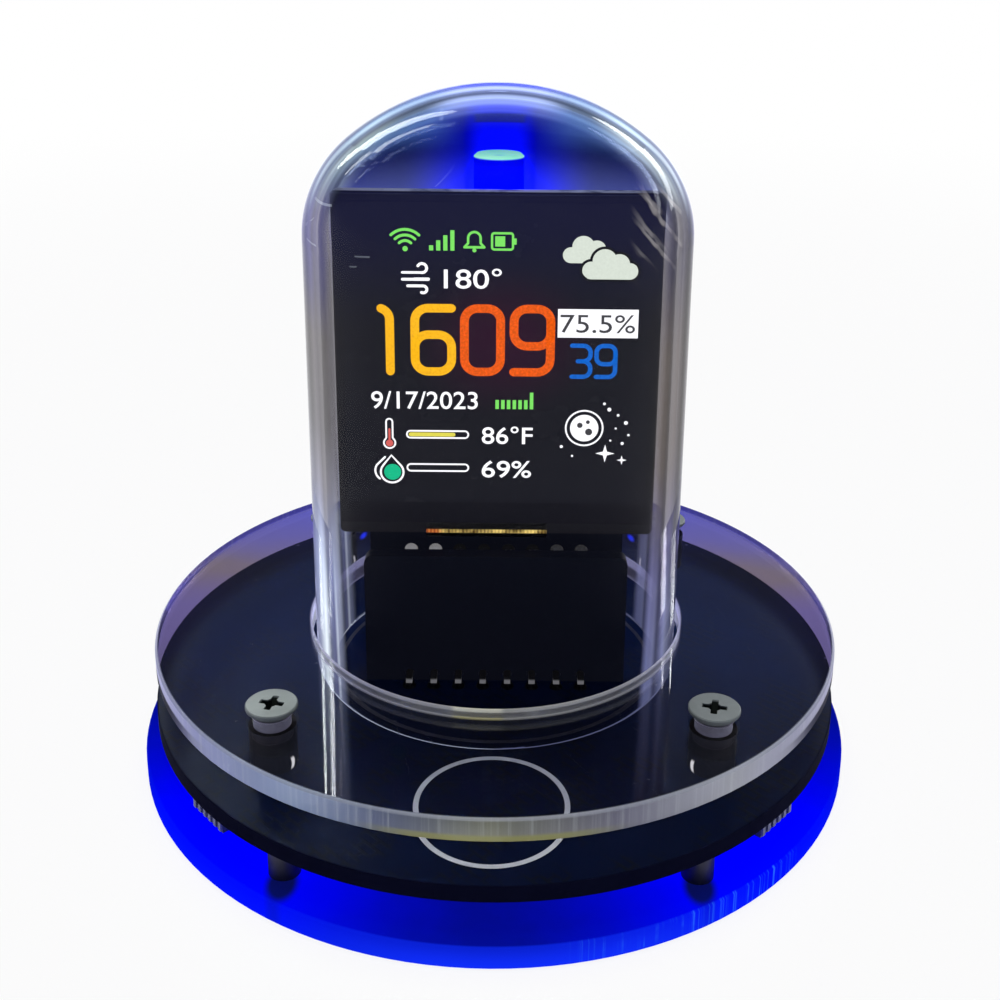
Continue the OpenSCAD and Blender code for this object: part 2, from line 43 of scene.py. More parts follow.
class Wire:
    # a node's output that can be reckoned with
    def __init__(self, tree, socket):
        self.tree, self.socket = tree, socket

    def calc(self, operation, *others, **props):
        inputs = dict(enumerate((self, *others)))
        return wire(self.tree, "ShaderNodeMath", inputs, operation=operation, **props)

    def __add__(self, other):
        return self.calc("ADD", other)

    def __sub__(self, other):
        return self.calc("SUBTRACT", other)

    def __rsub__(self, other):
        return self * -1.0 + other

    def __mul__(self, other):
        return self.calc("MULTIPLY", other)

    def __abs__(self):
        return self.calc("ABSOLUTE")

    def most(self, other):
        return self.calc("MAXIMUM", other)

    # 0 up to the low value, then a smooth rise to 1 at the high one
    def above(self, low, high):
        return wire(self.tree, "ShaderNodeMapRange", {"Value": self, "From Min": low, "From Max": high},
                    interpolation_type="SMOOTHSTEP")

    def below(self, low, high):
        return 1.0 - self.above(low, high)

    # noise brought into a range
    def span(self, low, high):
        return wire(self.tree, "ShaderNodeMapRange",
                    {"Value": self, "From Min": 0.3, "From Max": 0.7, "To Min": low, "To Max": high})

    # the wire as a mask between two colours
    def blend(self, first, second, mode="MIX"):
        return mixColours(self.tree, self, first, second, mode)

    def addTo(self, base, colour):
        return self.blend(base, colour, "ADD")

    # the wire as a colour, times another
    def shade(self, other):
        return mixColours(self.tree, 1.0, self, other, "MULTIPLY")

    # stops are places with a colour, or with a number for a grey
    def ramp(self, stops):
        node = put(self.tree, "ShaderNodeValToRGB", {0: self})
        elements = node.color_ramp.elements
        while len(elements) < len(stops):
            elements.new(0.5)
        for element, (place, colour) in zip(elements, stops):
            element.position = place
            element.color = (*(colour if isinstance(colour, tuple) else (colour,) * 3), 1)
        return Wire(self.tree, node.outputs[0])


def feed(tree, socket, value):
    if isinstance(value, Wire):
        tree.links.new(value.socket, socket)
    elif socket.type == "RGBA":
        socket.default_value = (*value, 1)
    else:
        socket.default_value = value


def put(tree, kind, inputs=None, **props):
    node = tree.nodes.new(kind)
    for key, value in props.items():
        setattr(node, key, value)
    for key, value in (inputs or {}).items():
        feed(tree, node.inputs[key], value)
    return node


def wire(tree, kind, inputs=None, output=0, **props):
    return Wire(tree, put(tree, kind, inputs, **props).outputs[output])


# the node takes its colours at 6 and 7 and gives one out at 2
def mixColours(tree, share, first, second, mode):
    inputs = {0: share, 6: first, 7: second}
    return wire(tree, "ShaderNodeMix", inputs, 2, data_type="RGBA", blend_type=mode)


def apart(tree, vector):
    return [Wire(tree, socket) for socket in put(tree, "ShaderNodeSeparateXYZ", {0: vector}).outputs]


def objectPlace(tree):
    return wire(tree, "ShaderNodeTexCoord", output="Object")


def awayFrom(across, along, x, y):
    dx, dy = across - x, along - y
    return (dx * dx + dy * dy).calc("SQRT")


def wholeTurn(angle):
    return angle * (1 / (2 * math.pi)) + 0.5


def roundNoise(angle, scale):
    inputs = {"W": angle, "Scale": scale, "Detail": 5.0, "Roughness": 0.7}
    return wire(angle.tree, "ShaderNodeTexNoise", inputs, noise_dimensions="1D")


# effects that several finishes share

def makeGroup(name, inputs, build):
    tree = bpy.data.node_groups.new(name, "ShaderNodeTree")
    for label, value in inputs.items():
        kind = "NodeSocketColor" if label == "Color" else "NodeSocketFloat"
        socket = tree.interface.new_socket(label, in_out="INPUT", socket_type=kind)
        socket.default_value = value
    given = tree.nodes.new("NodeGroupInput")
    made = build(tree, {label: Wire(tree, given.outputs[label]) for label in inputs})
    for label in made:
        kind = "NodeSocketColor" if label == "Color" else "NodeSocketFloat"
        tree.interface.new_socket(label, in_out="OUTPUT", socket_type=kind)
    put(tree, "NodeGroupOutput", made)
    return tree


def mottleParts(tree, given):
    inputs = {"Vector": objectPlace(tree), "Scale": given["Scale"], "Detail": 4.0, "Roughness": 0.6}
    noise = wire(tree, "ShaderNodeTexNoise", inputs)
    return {"Color": given["Color"].shade(1.0 - noise * given["Depth"]), "Mask": noise}


def scratchParts(tree, given):
    where = objectPlace(tree)
    total = None
    for step, across in enumerate(((0.55, 0.3, -0.78), (0.83, 0.2, -0.52), (0.35, 0.2, -0.92))):
        rows = wire(tree, "ShaderNodeVectorMath", {0: where, 1: across}, "Value", operation="DOT_PRODUCT")
        rows = rows * given["Scale"]
        thin = rows.calc("FRACT").calc("LESS_THAN", given["Share"])
        chance = wire(tree, "ShaderNodeTexWhiteNoise", {"W": rows.calc("FLOOR") + step * 31.0}, "Value",
                      noise_dimensions="1D")
        gaps = wire(tree, "ShaderNodeTexNoise", {"Vector": where, "Scale": 210.0 + 40 * step, "Detail": 1.0})
        dash = thin * chance.calc("LESS_THAN", given["Kept"]) * gaps.calc("GREATER_THAN", 0.6)
        total = total.most(dash) if total else dash
    return {"Mask": total}


def speckParts(tree, given):
    cells = put(tree, "ShaderNodeTexVoronoi", {"Vector": objectPlace(tree), "Scale": given["Scale"]})
    chance = wire(tree, "ShaderNodeSeparateColor", {0: Wire(tree, cells.outputs["Color"])})
    near = Wire(tree, cells.outputs["Distance"]).calc("LESS_THAN", 0.16)
    return {"Mask": chance.calc("LESS_THAN", given["Cover"]) * near}


def placeParts(tree, given):
    side, depth, height = [part * given["Zoom"] for part in apart(tree, objectPlace(tree))]
    return {"Radius": (side * side + depth * depth).calc("SQRT"), "Turn": depth.calc("ARCTAN2", side),
            "Height": height, "Side": side, "Depth": depth}


softMottle = makeGroup("softMottle", {"Color": (0.5, 0.5, 0.5, 1), "Depth": 0.2, "Scale": 300.0}, mottleParts)
hairScratches = makeGroup("hairScratches", {"Scale": 400.0, "Share": 0.05, "Kept": 0.3}, scratchParts)
dustSpecks = makeGroup("dustSpecks", {"Scale": 900.0, "Cover": 0.3}, speckParts)
turnAndHeight = makeGroup("turnAndHeight", {"Zoom": 1000.0}, placeParts)  # in millimetres
print("shared effects made")


# finishes

class Finish:
    sockets = {"colour": "Base Color", "rough": "Roughness", "metal": "Metallic", "ior": "IOR",
               "clear": "Transmission Weight", "glow": "Emission Color", "glowPower": "Emission Strength",
               "shine": "Specular IOR Level", "shineTint": "Specular Tint", "normal": "Normal"}

    def __init__(self, name, **values):
        self.material = bpy.data.materials.new(name)
        self.material.use_nodes = True
        self.tree = self.material.node_tree
        self.set(**values)

    def set(self, **values):
        shader = self.tree.nodes["Principled BSDF"]
        for key, value in values.items():
            feed(self.tree, shader.inputs[self.sockets[key]], value)

    def group(self, source, **values):
        node = put(self.tree, "ShaderNodeGroup", values, node_tree=source)
        return {socket.name: Wire(self.tree, socket) for socket in node.outputs}

    def noise(self, scale):
        return self.group(softMottle, Scale=scale)["Mask"]

    def place(self, *keys):
        parts = self.group(turnAndHeight)
        return [parts[key] for key in keys]

    def bump(self, height, strength, distance):
        self.set(normal=wire(self.tree, "ShaderNodeBump", {"Height": height, "Strength": strength,
                                                           "Distance": distance}))

    # a mottled colour of uneven roughness
    def cloud(self, colour, uneven, least):
        mottle = self.group(softMottle, Color=colour, Depth=0.3, Scale=400.0)
        self.set(colour=mottle["Color"], rough=mottle["Mask"] * uneven + least)
        return mottle["Mask"]


def plainFinish(name, colour, depth=0.3, scale=400.0, rough=(0.4, 0.55), grain=0.1, **values):
    finish = Finish(name, **values)
    mottle = finish.group(softMottle, Color=colour, Depth=depth, Scale=scale)
    finish.set(colour=mottle["Color"], rough=mottle["Mask"].span(*rough))
    finish.bump(finish.noise(scale * 6), grain, 0.00005)
    return finish.material


# edge lists run from the wall seen flat (0.5) to the wall seen edge on (1), painted light lists run up the tube
domeGlass = {
    "ior": 1.06, "shineTint": (0.05, 0.05, 0.055), "high": (0.08, 0.10, 0.185), "pale": (0.66, 0.74, 0.79),
    "crown": (54.5, 60.5), "clear": (69.0, 72.0), "middle": 50.0, "tall": 60.0,
    "crownEdge": [(0.52, 0), (0.62, 0.4), (0.67, 0.5), (0.70, 0.1), (0.735, 0), (0.78, 0.5), (0.84, 0),
                  (0.90, 0.1), (0.95, 0.5), (1.0, 0.9)],
    "tubeEdge": [(0.50, (0.78, 0.775, 0.80)), (0.57, (0.20, 0.19, 0.205)), (0.63, (0.07, 0.065, 0.07)),
                 (0.72, (0.12, 0.115, 0.13)), (0.80, (0.03, 0.03, 0.035)), (0.9, (0.09, 0.09, 0.11)),
                 (1.0, (0.04, 0.04, 0.07))],
    "streaks": [(0.53, 0), (0.585, (0.10, 0.11, 0.13)), (0.60, (0.30, 0.33, 0.36)),
                (0.62, (0.05, 0.05, 0.07)), (0.67, (0.08, 0.09, 0.11)), (0.70, (0.40, 0.44, 0.45)),
                (0.725, (0.60, 0.66, 0.60)), (0.76, (0.38, 0.42, 0.40)), (0.83, (0.18, 0.19, 0.22)),
                (1.0, (0.08, 0.08, 0.14))],
    "leftLight": [(0.23, (0.04, 0.05, 0.14)), (0.32, (0.06, 0.08, 0.22)), (0.37, (0.13, 0.165, 0.34)),
                 (0.43, (0.18, 0.205, 0.33)), (0.52, (0.17, 0.17, 0.20)), (0.62, (0.10, 0.10, 0.10)),
                 (0.77, (0.095, 0.09, 0.09)), (0.85, (0.05, 0.05, 0.13)), (0.92, (0.05, 0.05, 0.17))],
    "rightLight": [(0.23, (0.10, 0.11, 0.22)), (0.37, (0.08, 0.08, 0.17)), (0.46, (0.055, 0.05, 0.08)),
                  (0.56, (0.05, 0.04, 0.03)), (0.75, (0.05, 0.04, 0.03)), (0.88, (0.0, 0.0, 0.02))],
    "leftBands": [(0.54, 0), (0.57, 0.4), (0.60, 0.6), (0.635, 0.75), (0.68, 0.3), (0.735, 1), (0.80, 0.9),
                  (0.88, 0.6), (1.0, 0.2)],
    "rightBands": [(0.51, 0), (0.55, 0.8), (0.59, 0.9), (0.63, 0.35), (0.70, 0.9), (0.74, 0.5), (0.85, 0.25),
                   (1.0, 0)],
    "lines": [(0.50, 0), (0.57, 0.25), (0.62, 0.5), (0.665, 1), (0.69, 0.25), (0.735, 0.03), (0.775, 0.8),
              (0.80, 0.6), (0.835, 0.05), (0.89, 0.02), (0.93, 0.5), (1.0, 0.8)],
    "topLine": (0.34, 0.42, 0.70), "midLine": (0.09, 0.12, 0.18), "leftLine": (0.24, 0.30, 0.30),
    "rightLine": (0.46, 0.52, 0.52), "bloom": (0.0, 0.010, 4.2), "bloomTint": (0.004, 0.008, 0.3),
    "haze": (0.006, 0.010, 0.16), "veil": (0.20, 0.40, 0.50), "ghostAt": 64.2, "spark": (0.01, 0.03, 1.0),
    "sparkAt": (15.6, 16.6), "scratch": (0.16, 0.18, 0.20), "rubbedSheen": (0.20, 0.19, 0.18)}


def makeDomeGlass(s):
    finish = Finish("domeGlassFinish", clear=1.0, ior=s["ior"], shineTint=s["shineTint"], glowPower=1.0)
    tree = finish.tree
    side, depth, height, radius = finish.place("Side", "Depth", "Height", "Radius")
    across, right = abs(side), side.above(-2.0, 2.0)
    edge = wire(tree, "ShaderNodeLayerWeight", {"Blend": 0.5}, "Facing")
    # the lamp and the boards light and darken only the glass near them, by its height above the table
    level = apart(tree, wire(tree, "ShaderNodeNewGeometry", output="Position"))[2] * 1000.0
    close = level.below(*s["clear"])
    fade = (depth * 0.35 + height).above(*s["crown"]) * close
    tube = 1.0 - fade
    # true where the wall is looked at from the hollow side
    nx, ny, nz = apart(tree, wire(tree, "ShaderNodeNewGeometry", output="Normal"))
    within = (side * nx + depth * ny + (height - s["middle"]) * nz).below(-0.5, 0.5)
    # painted light and shade in the glass's colour where the wall is seen edge on: a navy crown with dark and
    # pale lines, a grey band down the tube
    tintAndPaintedLight = fade.blend(edge.ramp(s["tubeEdge"]), edge.ramp(s["crownEdge"]).blend(s["high"], s["pale"]))
    smear = finish.noise(90.0)
    scratch = finish.group(hairScratches, Scale=260.0, Share=0.02, Kept=0.2)["Mask"]
    finish.set(rough=smear.above(0.52, 0.75) * 0.02 + scratch * 0.1)
    # light in the wall: white streaks at the left foot, a cool band on the left, a warm one on the right
    glow = (height.below(18.0, 30.0) * tube * (right * -0.93 + 1.0)).blend(black, edge.ramp(s["streaks"]))
    rise = height * (1 / s["tall"])
    paintedLight = right.blend(rise.ramp(s["leftLight"]), rise.ramp(s["rightLight"]))
    bands = right.blend(edge.ramp(s["leftBands"]), edge.ramp(s["rightBands"]))
    glow = (bands * tube).addTo(glow, paintedLight)
    # the glass behind the upright lamp catches its light and mirrors the lamp above itself
    rear = depth.above(2.0, 8.0) * within * close
    narrow = across.below(1.0, 11.0) * 0.28 + across.below(1.6, 4.2) * 0.6
    near = (level.above(60.5, 67.5) * -0.8 + 1.0) * level.below(65.8, 67.6)
    ghost = abs(level - s["ghostAt"]).below(0.5, 0.8) * across.below(2.3, 3.2) * rear
    glowing = near * level.above(42.0, 51.0) * narrow * rear * (ghost * -0.75 + 1.0)
    glow = glowing.addTo(glow, s["bloom"])
    finish.set(colour=glowing.above(0.0, 0.3).blend(tintAndPaintedLight, s["bloomTint"]))
    glow = (rear * level.above(50.0, 55.0)).addTo(glow, s["haze"])
    glow = (level.above(59.5, 63.5) * rear * across.above(3.5, 8.0)).addTo(glow, s["veil"])
    # painted highlights: pale lines in the crown's edge, bluer towards the top
    bright = across.above(3.5, 7.0).blend(s["topLine"], s["midLine"])
    bright = across.above(8.0, 12.5).blend(bright, right.blend(s["leftLine"], s["rightLine"]))
    glow = (edge.ramp(s["lines"]) * fade).addTo(glow, bright)
    # two small blue sparks of painted light low on the rear wall
    spark = radius.above(18.2, 18.6) * awayFrom(across, level, *s["sparkAt"]).below(0.1, 0.5) * rear
    glow = spark.addTo(glow, s["spark"])
    # painted glints on scratches on the left of the crown, painted sheen on rubbed strokes on the right
    upper = height.above(52.0, 56.0) * depth.below(-9.0, -5.0)
    dash = finish.group(hairScratches, Scale=420.0, Share=0.05, Kept=0.22)["Mask"]
    glow = (dash * side.below(-8.0, -3.0) * upper).addTo(glow, s["scratch"])
    brush = (side * 3.1 + height * 2.3 + smear * 10.0).calc("SINE")
    rubbedSheen = brush.above(0.7, 1.0) * smear.above(0.46, 0.56) * side.above(11.5, 13.5)
    rubbedSheen = rubbedSheen * height.below(59.0, 61.5) * upper
    finish.set(glow=rubbedSheen.addTo(glow, s["rubbedSheen"]))
    return finish.material


# the violet list runs from front to rear, the cut and inner ones round the sheet
topAcrylic = {
    "front": (0.88, 0.90, 0.95), "ior": 1.43, "rim": 34.85, "bore": 19.7, "marks": 60.0, "hole": 1.75,
    "clearRadius": 30.5, "clearAt": -10.6, "low": 11.25, "high": 13.55, "frontTurn": 0.25,
    "gleamTurn": 0.238,
    "violet": [(0.30, (0.12, 0.11, 0.19)), (0.40, (0.14, 0.11, 0.29)), (0.53, (0.16, 0.125, 0.33)),
               (0.63, (0.21, 0.165, 0.19)), (0.72, (0.16, 0.14, 0.42)), (0.84, (0.13, 0.125, 0.56))],
    "cut": [(0.0, (0.10, 0.09, 0.34)), (0.10, (0.12, 0.13, 0.34)), (0.17, (0.12, 0.17, 0.29)),
            (0.21, (0.02, 0.035, 0.09)), (0.25, (0.08, 0.085, 0.06)), (0.30, (0.05, 0.05, 0.09)),
            (0.35, (0.22, 0.23, 0.27)), (0.42, (0.12, 0.12, 0.26)), (0.55, (0.09, 0.08, 0.30)),
            (1.0, (0.10, 0.09, 0.34))],
    "inner": [(0.0, (0.24, 0.24, 0.42)), (0.15, (0.17, 0.17, 0.22)), (0.25, (0.17, 0.17, 0.155)),
              (0.37, (0.18, 0.18, 0.20)), (0.5, (0.24, 0.24, 0.42)), (1.0, (0.24, 0.24, 0.42))],
    "cutShade": (0.05, 0.05, 0.065), "shadeTint": (0.01, 0.01, 0.015), "shadeGlow": (0.0, 0.0, 0.01),
    "markGlint": (0.4, 0.43, 0.46), "warm": (0.13, 0.13, 0.02), "topLine": (0.32, 0.34, 0.40),
    "gleams": ((0.26, 0.24, 0.10), (0.36, 0.36, 0.29)),
    "holeWallGlow": ((0.008, 0.008, 0.014), (0.09, 0.085, 0.13))}


def makeTopAcrylic(s):
    finish = Finish("topAcrylicFinish", clear=1.0, ior=s["ior"], glowPower=1.0)
    side, depth, height, radius, angle = finish.place("Side", "Depth", "Height", "Radius", "Turn")
    turn, low, high = wholeTurn(angle), s["low"], s["high"]
    rim, bore = radius.above(s["rim"], s["rim"] + 0.2), radius.below(s["bore"] - 0.2, s["bore"])
    away = awayFrom(abs(side), abs(depth), screwAt, screwAt)
    hole = away.below(s["hole"] + 0.05, s["hole"] + 0.2)
    cuts = rim.most(bore).most(hole)
    # violet light gathers towards the rear of the sheet, with a warm patch on each flank
    gather = awayFrom(side, depth, 0.0, s["clearAt"]).above(s["clearRadius"], s["clearRadius"] + 2.0)
    violet = (finish.noise(60.0) * 0.12 + (depth * (1 / 72) + 0.44)).ramp(s["violet"])
    # painted shade: the cut edges and the screw holes are dark
    tintAndPaintedLight = cuts.blend(gather.blend(s["front"], violet), s["cutShade"])
    # painted shade: the rim's lower half is dark at the sides
    ahead = abs(turn - s["frontTurn"])
    shade = ahead.above(0.12, 0.17) * ahead.below(0.22, 0.28) * rim * height.below(low + 0.9, low + 1.3)
    scratch = finish.group(hairScratches, Scale=160.0, Share=0.02, Kept=0.25)["Mask"]
    speck = finish.group(dustSpecks, Scale=900.0, Cover=0.02)["Mask"]
    rough = (scratch * 0.08 + speck * 0.2).most(cuts * 0.3).most(shade).most(hole)
    finish.set(colour=shade.blend(tintAndPaintedLight, s["shadeTint"]), rough=rough)
    # upright cutting marks round the rim
    marks = roundNoise(angle, s["marks"]).above(0.45, 0.75)
    finish.bump(marks * rim, 0.06, 0.00005)
    # light piped out through the cut edges: violet at the sides, grey at the front, with painted glints on the
    # cutting marks
    cut = (marks * 0.25).blend(turn.ramp(s["cut"]), s["markGlint"])
    cut = (height.below(low + 0.5, low + 0.9) * ahead.below(0.02, 0.06)).blend(cut, s["warm"])
    cut = shade.blend(cut, s["shadeGlow"])
    cut = (height.above(high - 0.3, high - 0.1) * 0.5).blend(cut, s["topLine"])
    # round the dome only the two rims of the cut shine, with two short yellow gleams at the front
    gleam = height.above(12.0, 12.8).blend(*s["gleams"])
    inner = (abs(turn - s["gleamTurn"]).below(0.016, 0.022) * 0.85).blend(turn.ramp(s["inner"]), gleam)
    rims = height.above(high - 1.1, high - 0.7).most(height.below(low + 0.1, low + 0.35) * 0.45) * 0.85 + 0.15
    glow = bore.blend(rim.blend(black, cut), rims.blend(black, inner))
    # the screw holes' walls glow with painted light
    finish.set(glow=hole.blend(glow, finish.noise(500.0).blend(*s["holeWallGlow"])))
    return finish.material


litAcrylic = {"colour": (0.0, 0.002, 0.05), "deep": (0.001, 0.003, 0.26), "bright": (0.0, 0.0, 1.0),
              "edge": (0.005, 0.026, 0.92), "spark": (0.03, 0.20, 1.0), "pillar": (0.002, 0.004, 0.08),
              "rim": 36.55, "pillarAt": (18.3, -29.4), "frontTurn": 0.265}


def makeLitAcrylic(s):
    finish = Finish("litAcrylicFinish", ior=1.49, shine=0.0, colour=s["colour"], glowPower=1.0)
    side, depth, height, radius, angle = finish.place("Side", "Depth", "Height", "Radius", "Turn")
    # four bright lobes, one at each lamp
    patch = finish.noise(130.0)
    lobes = ((angle * 4.0).calc("COSINE") * -0.62 + 0.62).calc("ADD", patch * 0.4 - 0.2, use_clamp=True)
    # the pillars stand mirrored in the sheet
    x, y = s["pillarAt"]
    pillars = awayFrom(abs(side), depth * 0.6, x, y * 0.6).below(0.9, 1.8)
    body = pillars.blend(lobes.blend(s["deep"], s["bright"]), s["pillar"])
    turn, rim = wholeTurn(angle), radius.above(s["rim"], s["rim"] + 0.15)
    ahead = abs(turn - s["frontTurn"]).below(0.03, 0.11)
    body = (rim * (height.below(0.2, 2.6) * 0.5 + 0.5) * (ahead * 0.8 + 0.2)).blend(body, s["edge"])
    # cutting marks and bright patches where the rim sends the lamps' light out
    wave = roundNoise(angle, 70.0)
    lines = wave.above(0.5, 0.78) * patch.above(0.42, 0.58) * turn.above(0.27, 0.30) * turn.below(0.39, 0.42)
    finish.set(glow=(rim * lines).blend(body, s["spark"]), rough=patch * 0.3 + 0.55)
    finish.bump(wave * rim, 0.1, 0.00006)
    return finish.material


boardMask = {"mask": (0.0045, 0.0060, 0.013), "round": (0.0040, 0.0090, 0.034),
             "rear": (0.0016, 0.0055, 0.030), "trace": (0.008, 0.011, 0.021),
             "upright": (0.0035, 0.004, 0.0075), "cut": (0.004, 0.005, 0.022),
             "scale": 260.0, "edge": 35.2, "top": 7.25}


def makeBoardMask(s):
    finish = Finish("boardMaskFinish", shine=0.03, glowPower=1.0)
    tree = finish.tree
    slant = (0.0, 0.0, math.radians(45))
    slanted = wire(tree, "ShaderNodeMapping", {"Vector": objectPlace(tree), "Rotation": slant})
    bricks = wire(tree, "ShaderNodeTexBrick", {"Vector": slanted, "Scale": s["scale"], "Mortar Size": 0.05,
                                               "Mortar Smooth": 0.3}, "Fac")
    # painted blue light makes the round board bluer than the upright one, and its cut edge is black
    depth, height, radius = finish.place("Depth", "Height", "Radius")
    upright = height.above(s["top"], s["top"] + 0.15)
    mottle = finish.group(softMottle, Color=(1.0, 1.0, 1.0), Depth=0.35, Scale=220.0)
    lines = bricks * mottle["Mask"].above(0.45, 0.6) * (1.0 - upright)
    colour = lines.blend(upright.blend(s["round"], s["mask"]), s["trace"])
    cutEdge = radius.above(s["edge"], s["edge"] + 0.15)
    # painted light: blue light from the lamps lies on the round face, more towards the rear, and the upright
    # board glows faintly
    spread = depth.above(-20.0, 6.0) * mottle["Color"] * (radius.above(14.0, 18.0) * 0.75 + 0.25)
    finish.set(colour=cutEdge.blend(colour, s["cut"]).shade(mottle["Color"]),
               glow=upright.blend(spread.blend(black, s["rear"]), s["upright"]),
               rough=mottle["Mask"] * 0.25 + (cutEdge * 0.5 + 0.25))
    finish.bump(lines, 0.25, 0.00003)
    return finish.material


screenFilm = {"colour": (0.006, 0.006, 0.008), "black": (0.012, 0.0125, 0.018), "cool": (0.009, 0.010, 0.040),
              "warm": (0.030, 0.008, 0.025), "warmAt": (0.4, 43.8)}


def makeScreenFilm(s):
    finish = Finish("screenFilmFinish", colour=s["colour"], shine=0.1, glowPower=1.0)
    side, height = finish.place("Side", "Height")
    # painted light, as leaking backlight: cool towards the top, warm round the large figures
    glow = height.above(*paintedCoolBand).blend(s["black"], s["cool"])
    warm = awayFrom(side * 0.8, height, *s["warmAt"]).below(1.0, 8.5)
    finish.set(glow=warm.blend(glow, s["warm"]), rough=finish.noise(160.0) * 0.25 + 0.12)
    return finish.material


def makeMetal(name, colour, rough, stretch=(1, 1, 1), metal=1.0):
    finish = Finish(name, metal=metal)
    grain = 900.0
    where = wire(finish.tree, "ShaderNodeMapping", {"Vector": objectPlace(finish.tree), "Scale": stretch})
    noise = wire(finish.tree, "ShaderNodeTexNoise", {"Vector": where, "Scale": grain, "Detail": 5.0})
    mottle = finish.group(softMottle, Color=colour, Depth=0.28, Scale=grain * 0.4)
    finish.set(colour=mottle["Color"], rough=noise.span(*rough))
    finish.bump(noise, 0.15, 0.00004)
    return finish.material


upLamp = {"colour": (0.001, 0.002, 0.5), "body": (0.0, 0.0004, 0.30), "low": (0.0, 0.0, 0.02),
          "rim": (0.08, 0.44, 0.24), "top": (0.26, 0.50, 0.27), "rise": (52.0, 58.5), "lens": (60.95, 61.15),
          "power": 8.5}


def makeUpLamp(s):
    finish = Finish("upLampFinish", colour=s["colour"], shine=0.0, glowPower=s["power"])
    height, = finish.place("Height")
    body = height.above(*s["rise"]).blend(s["low"], s["body"])
    cloud = finish.noise(700.0)
    top = (cloud * 0.8).blend(s["top"], s["rim"])
    finish.set(glow=height.above(*s["lens"]).blend(body, top), rough=cloud * 0.2 + 0.1)
    return finish.material


def makeInk(name, colour, power, fleck=0.25):
    finish = Finish(name, colour=(0.01, 0.01, 0.01), rough=0.4, shine=0.1, glowPower=power)
    # single picture points show as a fine unevenness
    points = finish.group(softMottle, Color=colour, Depth=fleck, Scale=4200.0)["Color"]
    # the panel turns dark when it is looked at from below, as in the sheet's mirror image
    mirrored = wire(finish.tree, "ShaderNodeLightPath", output="Glossy Depth").calc("MINIMUM", 1.0)
    finish.set(glow=(mirrored * 0.97).blend(points, black))
    return finish.material


flex = {"bare": (22.9, 22.98, 23.25, 23.4), "film": (0.008, 0.008, 0.01), "gap": (0.30, 0.14, 0.02),
        "gold": (0.85, 0.55, 0.09), "red": (0.40, 0.07, 0.015), "yellow": (0.95, 0.72, 0.22), "lines": 17.0}


def makeFlex(s):
    finish = Finish("flexFinish", shine=0.4, glowPower=1.0)
    side, height = finish.place("Side", "Height")
    lines = (side * s["lines"]).calc("SINE").above(-0.2, 0.3)
    bare = height.above(*s["bare"][:2]) * height.below(*s["bare"][2:])
    mottle = finish.noise(450.0)
    # light that leaks from the panel's lower edge falls on the fold, red at its left end
    warm = side.above(-6.2, -5.2).blend(s["red"], s["yellow"])
    finish.set(colour=bare.blend(s["film"], lines.blend(s["gap"], s["gold"])), rough=mottle * 0.3 + 0.2,
               glow=(mottle.above(0.34, 0.56) * bare).blend(black, warm))
    finish.bump(lines, 0.2, 0.00003)
    return finish.material


screw = {"top": 14.57, "colour": (0.25, 0.28, 0.275), "deep": (0.012, 0.016, 0.012)}


def makeScrew(s):
    finish = Finish("screwFinish", metal=0.15, shine=0.3)
    side, depth, height = finish.place("Side", "Depth", "Height")
    # painted shade: the recess is dark, and so is the shaft
    away, top = awayFrom(abs(side), abs(depth), screwAt, screwAt), s["top"]
    deep = height.below(top - 0.2, top - 0.06) * away.below(1.45, 1.55)
    deep = deep.most(height.below(top - 0.85, top - 0.45) * 0.72)
    mottle = finish.group(softMottle, Color=s["colour"], Depth=0.28, Scale=360.0)
    finish.set(colour=deep.blend(mottle["Color"], s["deep"]), rough=mottle["Mask"] * 0.3 + 0.4)
    finish.bump(finish.noise(1500.0), 0.15, 0.00004)
    return finish.material


tray = {"colour": (0.020, 0.020, 0.024), "top": 58.6, "low": (0.008, 0.008, 0.011),
        "high": (0.008, 0.009, 0.034), "line": (0.22, 0.24, 0.36)}


def makeTray(s):
    finish = Finish("trayFinish", shine=0.06, glowPower=1.0)
    height, = finish.place("Height")
    grain = finish.cloud(s["colour"], 0.3, 0.25)
    # painted light: the upper edge catches the lamp's light, and the tray turns bluish towards the top
    line = height.above(s["top"] - 0.12, s["top"] - 0.02) * finish.noise(300.0).above(0.36, 0.56)
    finish.set(glow=line.blend(height.above(*paintedCoolBand).blend(s["low"], s["high"]), s["line"]))
    finish.bump(grain, 0.1, 0.00005)
    return finish.material


panelGlass = {"colour": (0.008, 0.008, 0.011), "low": (0.008, 0.008, 0.012), "high": (0.009, 0.010, 0.040)}


def makePanelGlass(s):
    finish = Finish("panelGlassFinish", shine=0.08, glowPower=1.0)
    height, = finish.place("Height")
    finish.cloud(s["colour"], 0.2, 0.05)
    # painted light: the glass turns bluish towards the top
    finish.set(glow=height.above(*paintedCoolBand).blend(s["low"], s["high"]))
    return finish.material


joint = {"inShade": (0.02, 0.02, 0.022), "left": (0.85, 0.84, 0.82), "right": (0.12, 0.12, 0.125),
         "outer": (4.6, 5.4), "upper": (20.35, 20.7)}


def makeJoint(s):
    finish = Finish("displayJointFinish", metal=0.5, glowPower=0.3)
    side, height = finish.place("Side", "Height")
    # painted light and shade: the outer pairs stand in the light, the left ones most, and their tops glow
    mottle = finish.group(softMottle, Color=(1.0, 1.0, 1.0), Depth=0.3, Scale=900.0)
    paintedLight = abs(side).above(*s["outer"]).blend(s["inShade"], side.above(-1.0, 1.0).blend(s["left"], s["right"]))
    paintedLight = paintedLight.shade(mottle["Color"])
    finish.set(colour=paintedLight, glow=height.above(*s["upper"]).blend(black, paintedLight),
               rough=mottle["Mask"] * 0.3 + 0.1)
    finish.bump(mottle["Mask"], 0.1, 0.00004)
    return finish.material


footPin = {"inShade": (0.012, 0.012, 0.014), "lit": (0.45, 0.45, 0.46), "front": (-5.3, -5.0),
           "bend": (7.5, 7.7, 8.0, 8.3)}


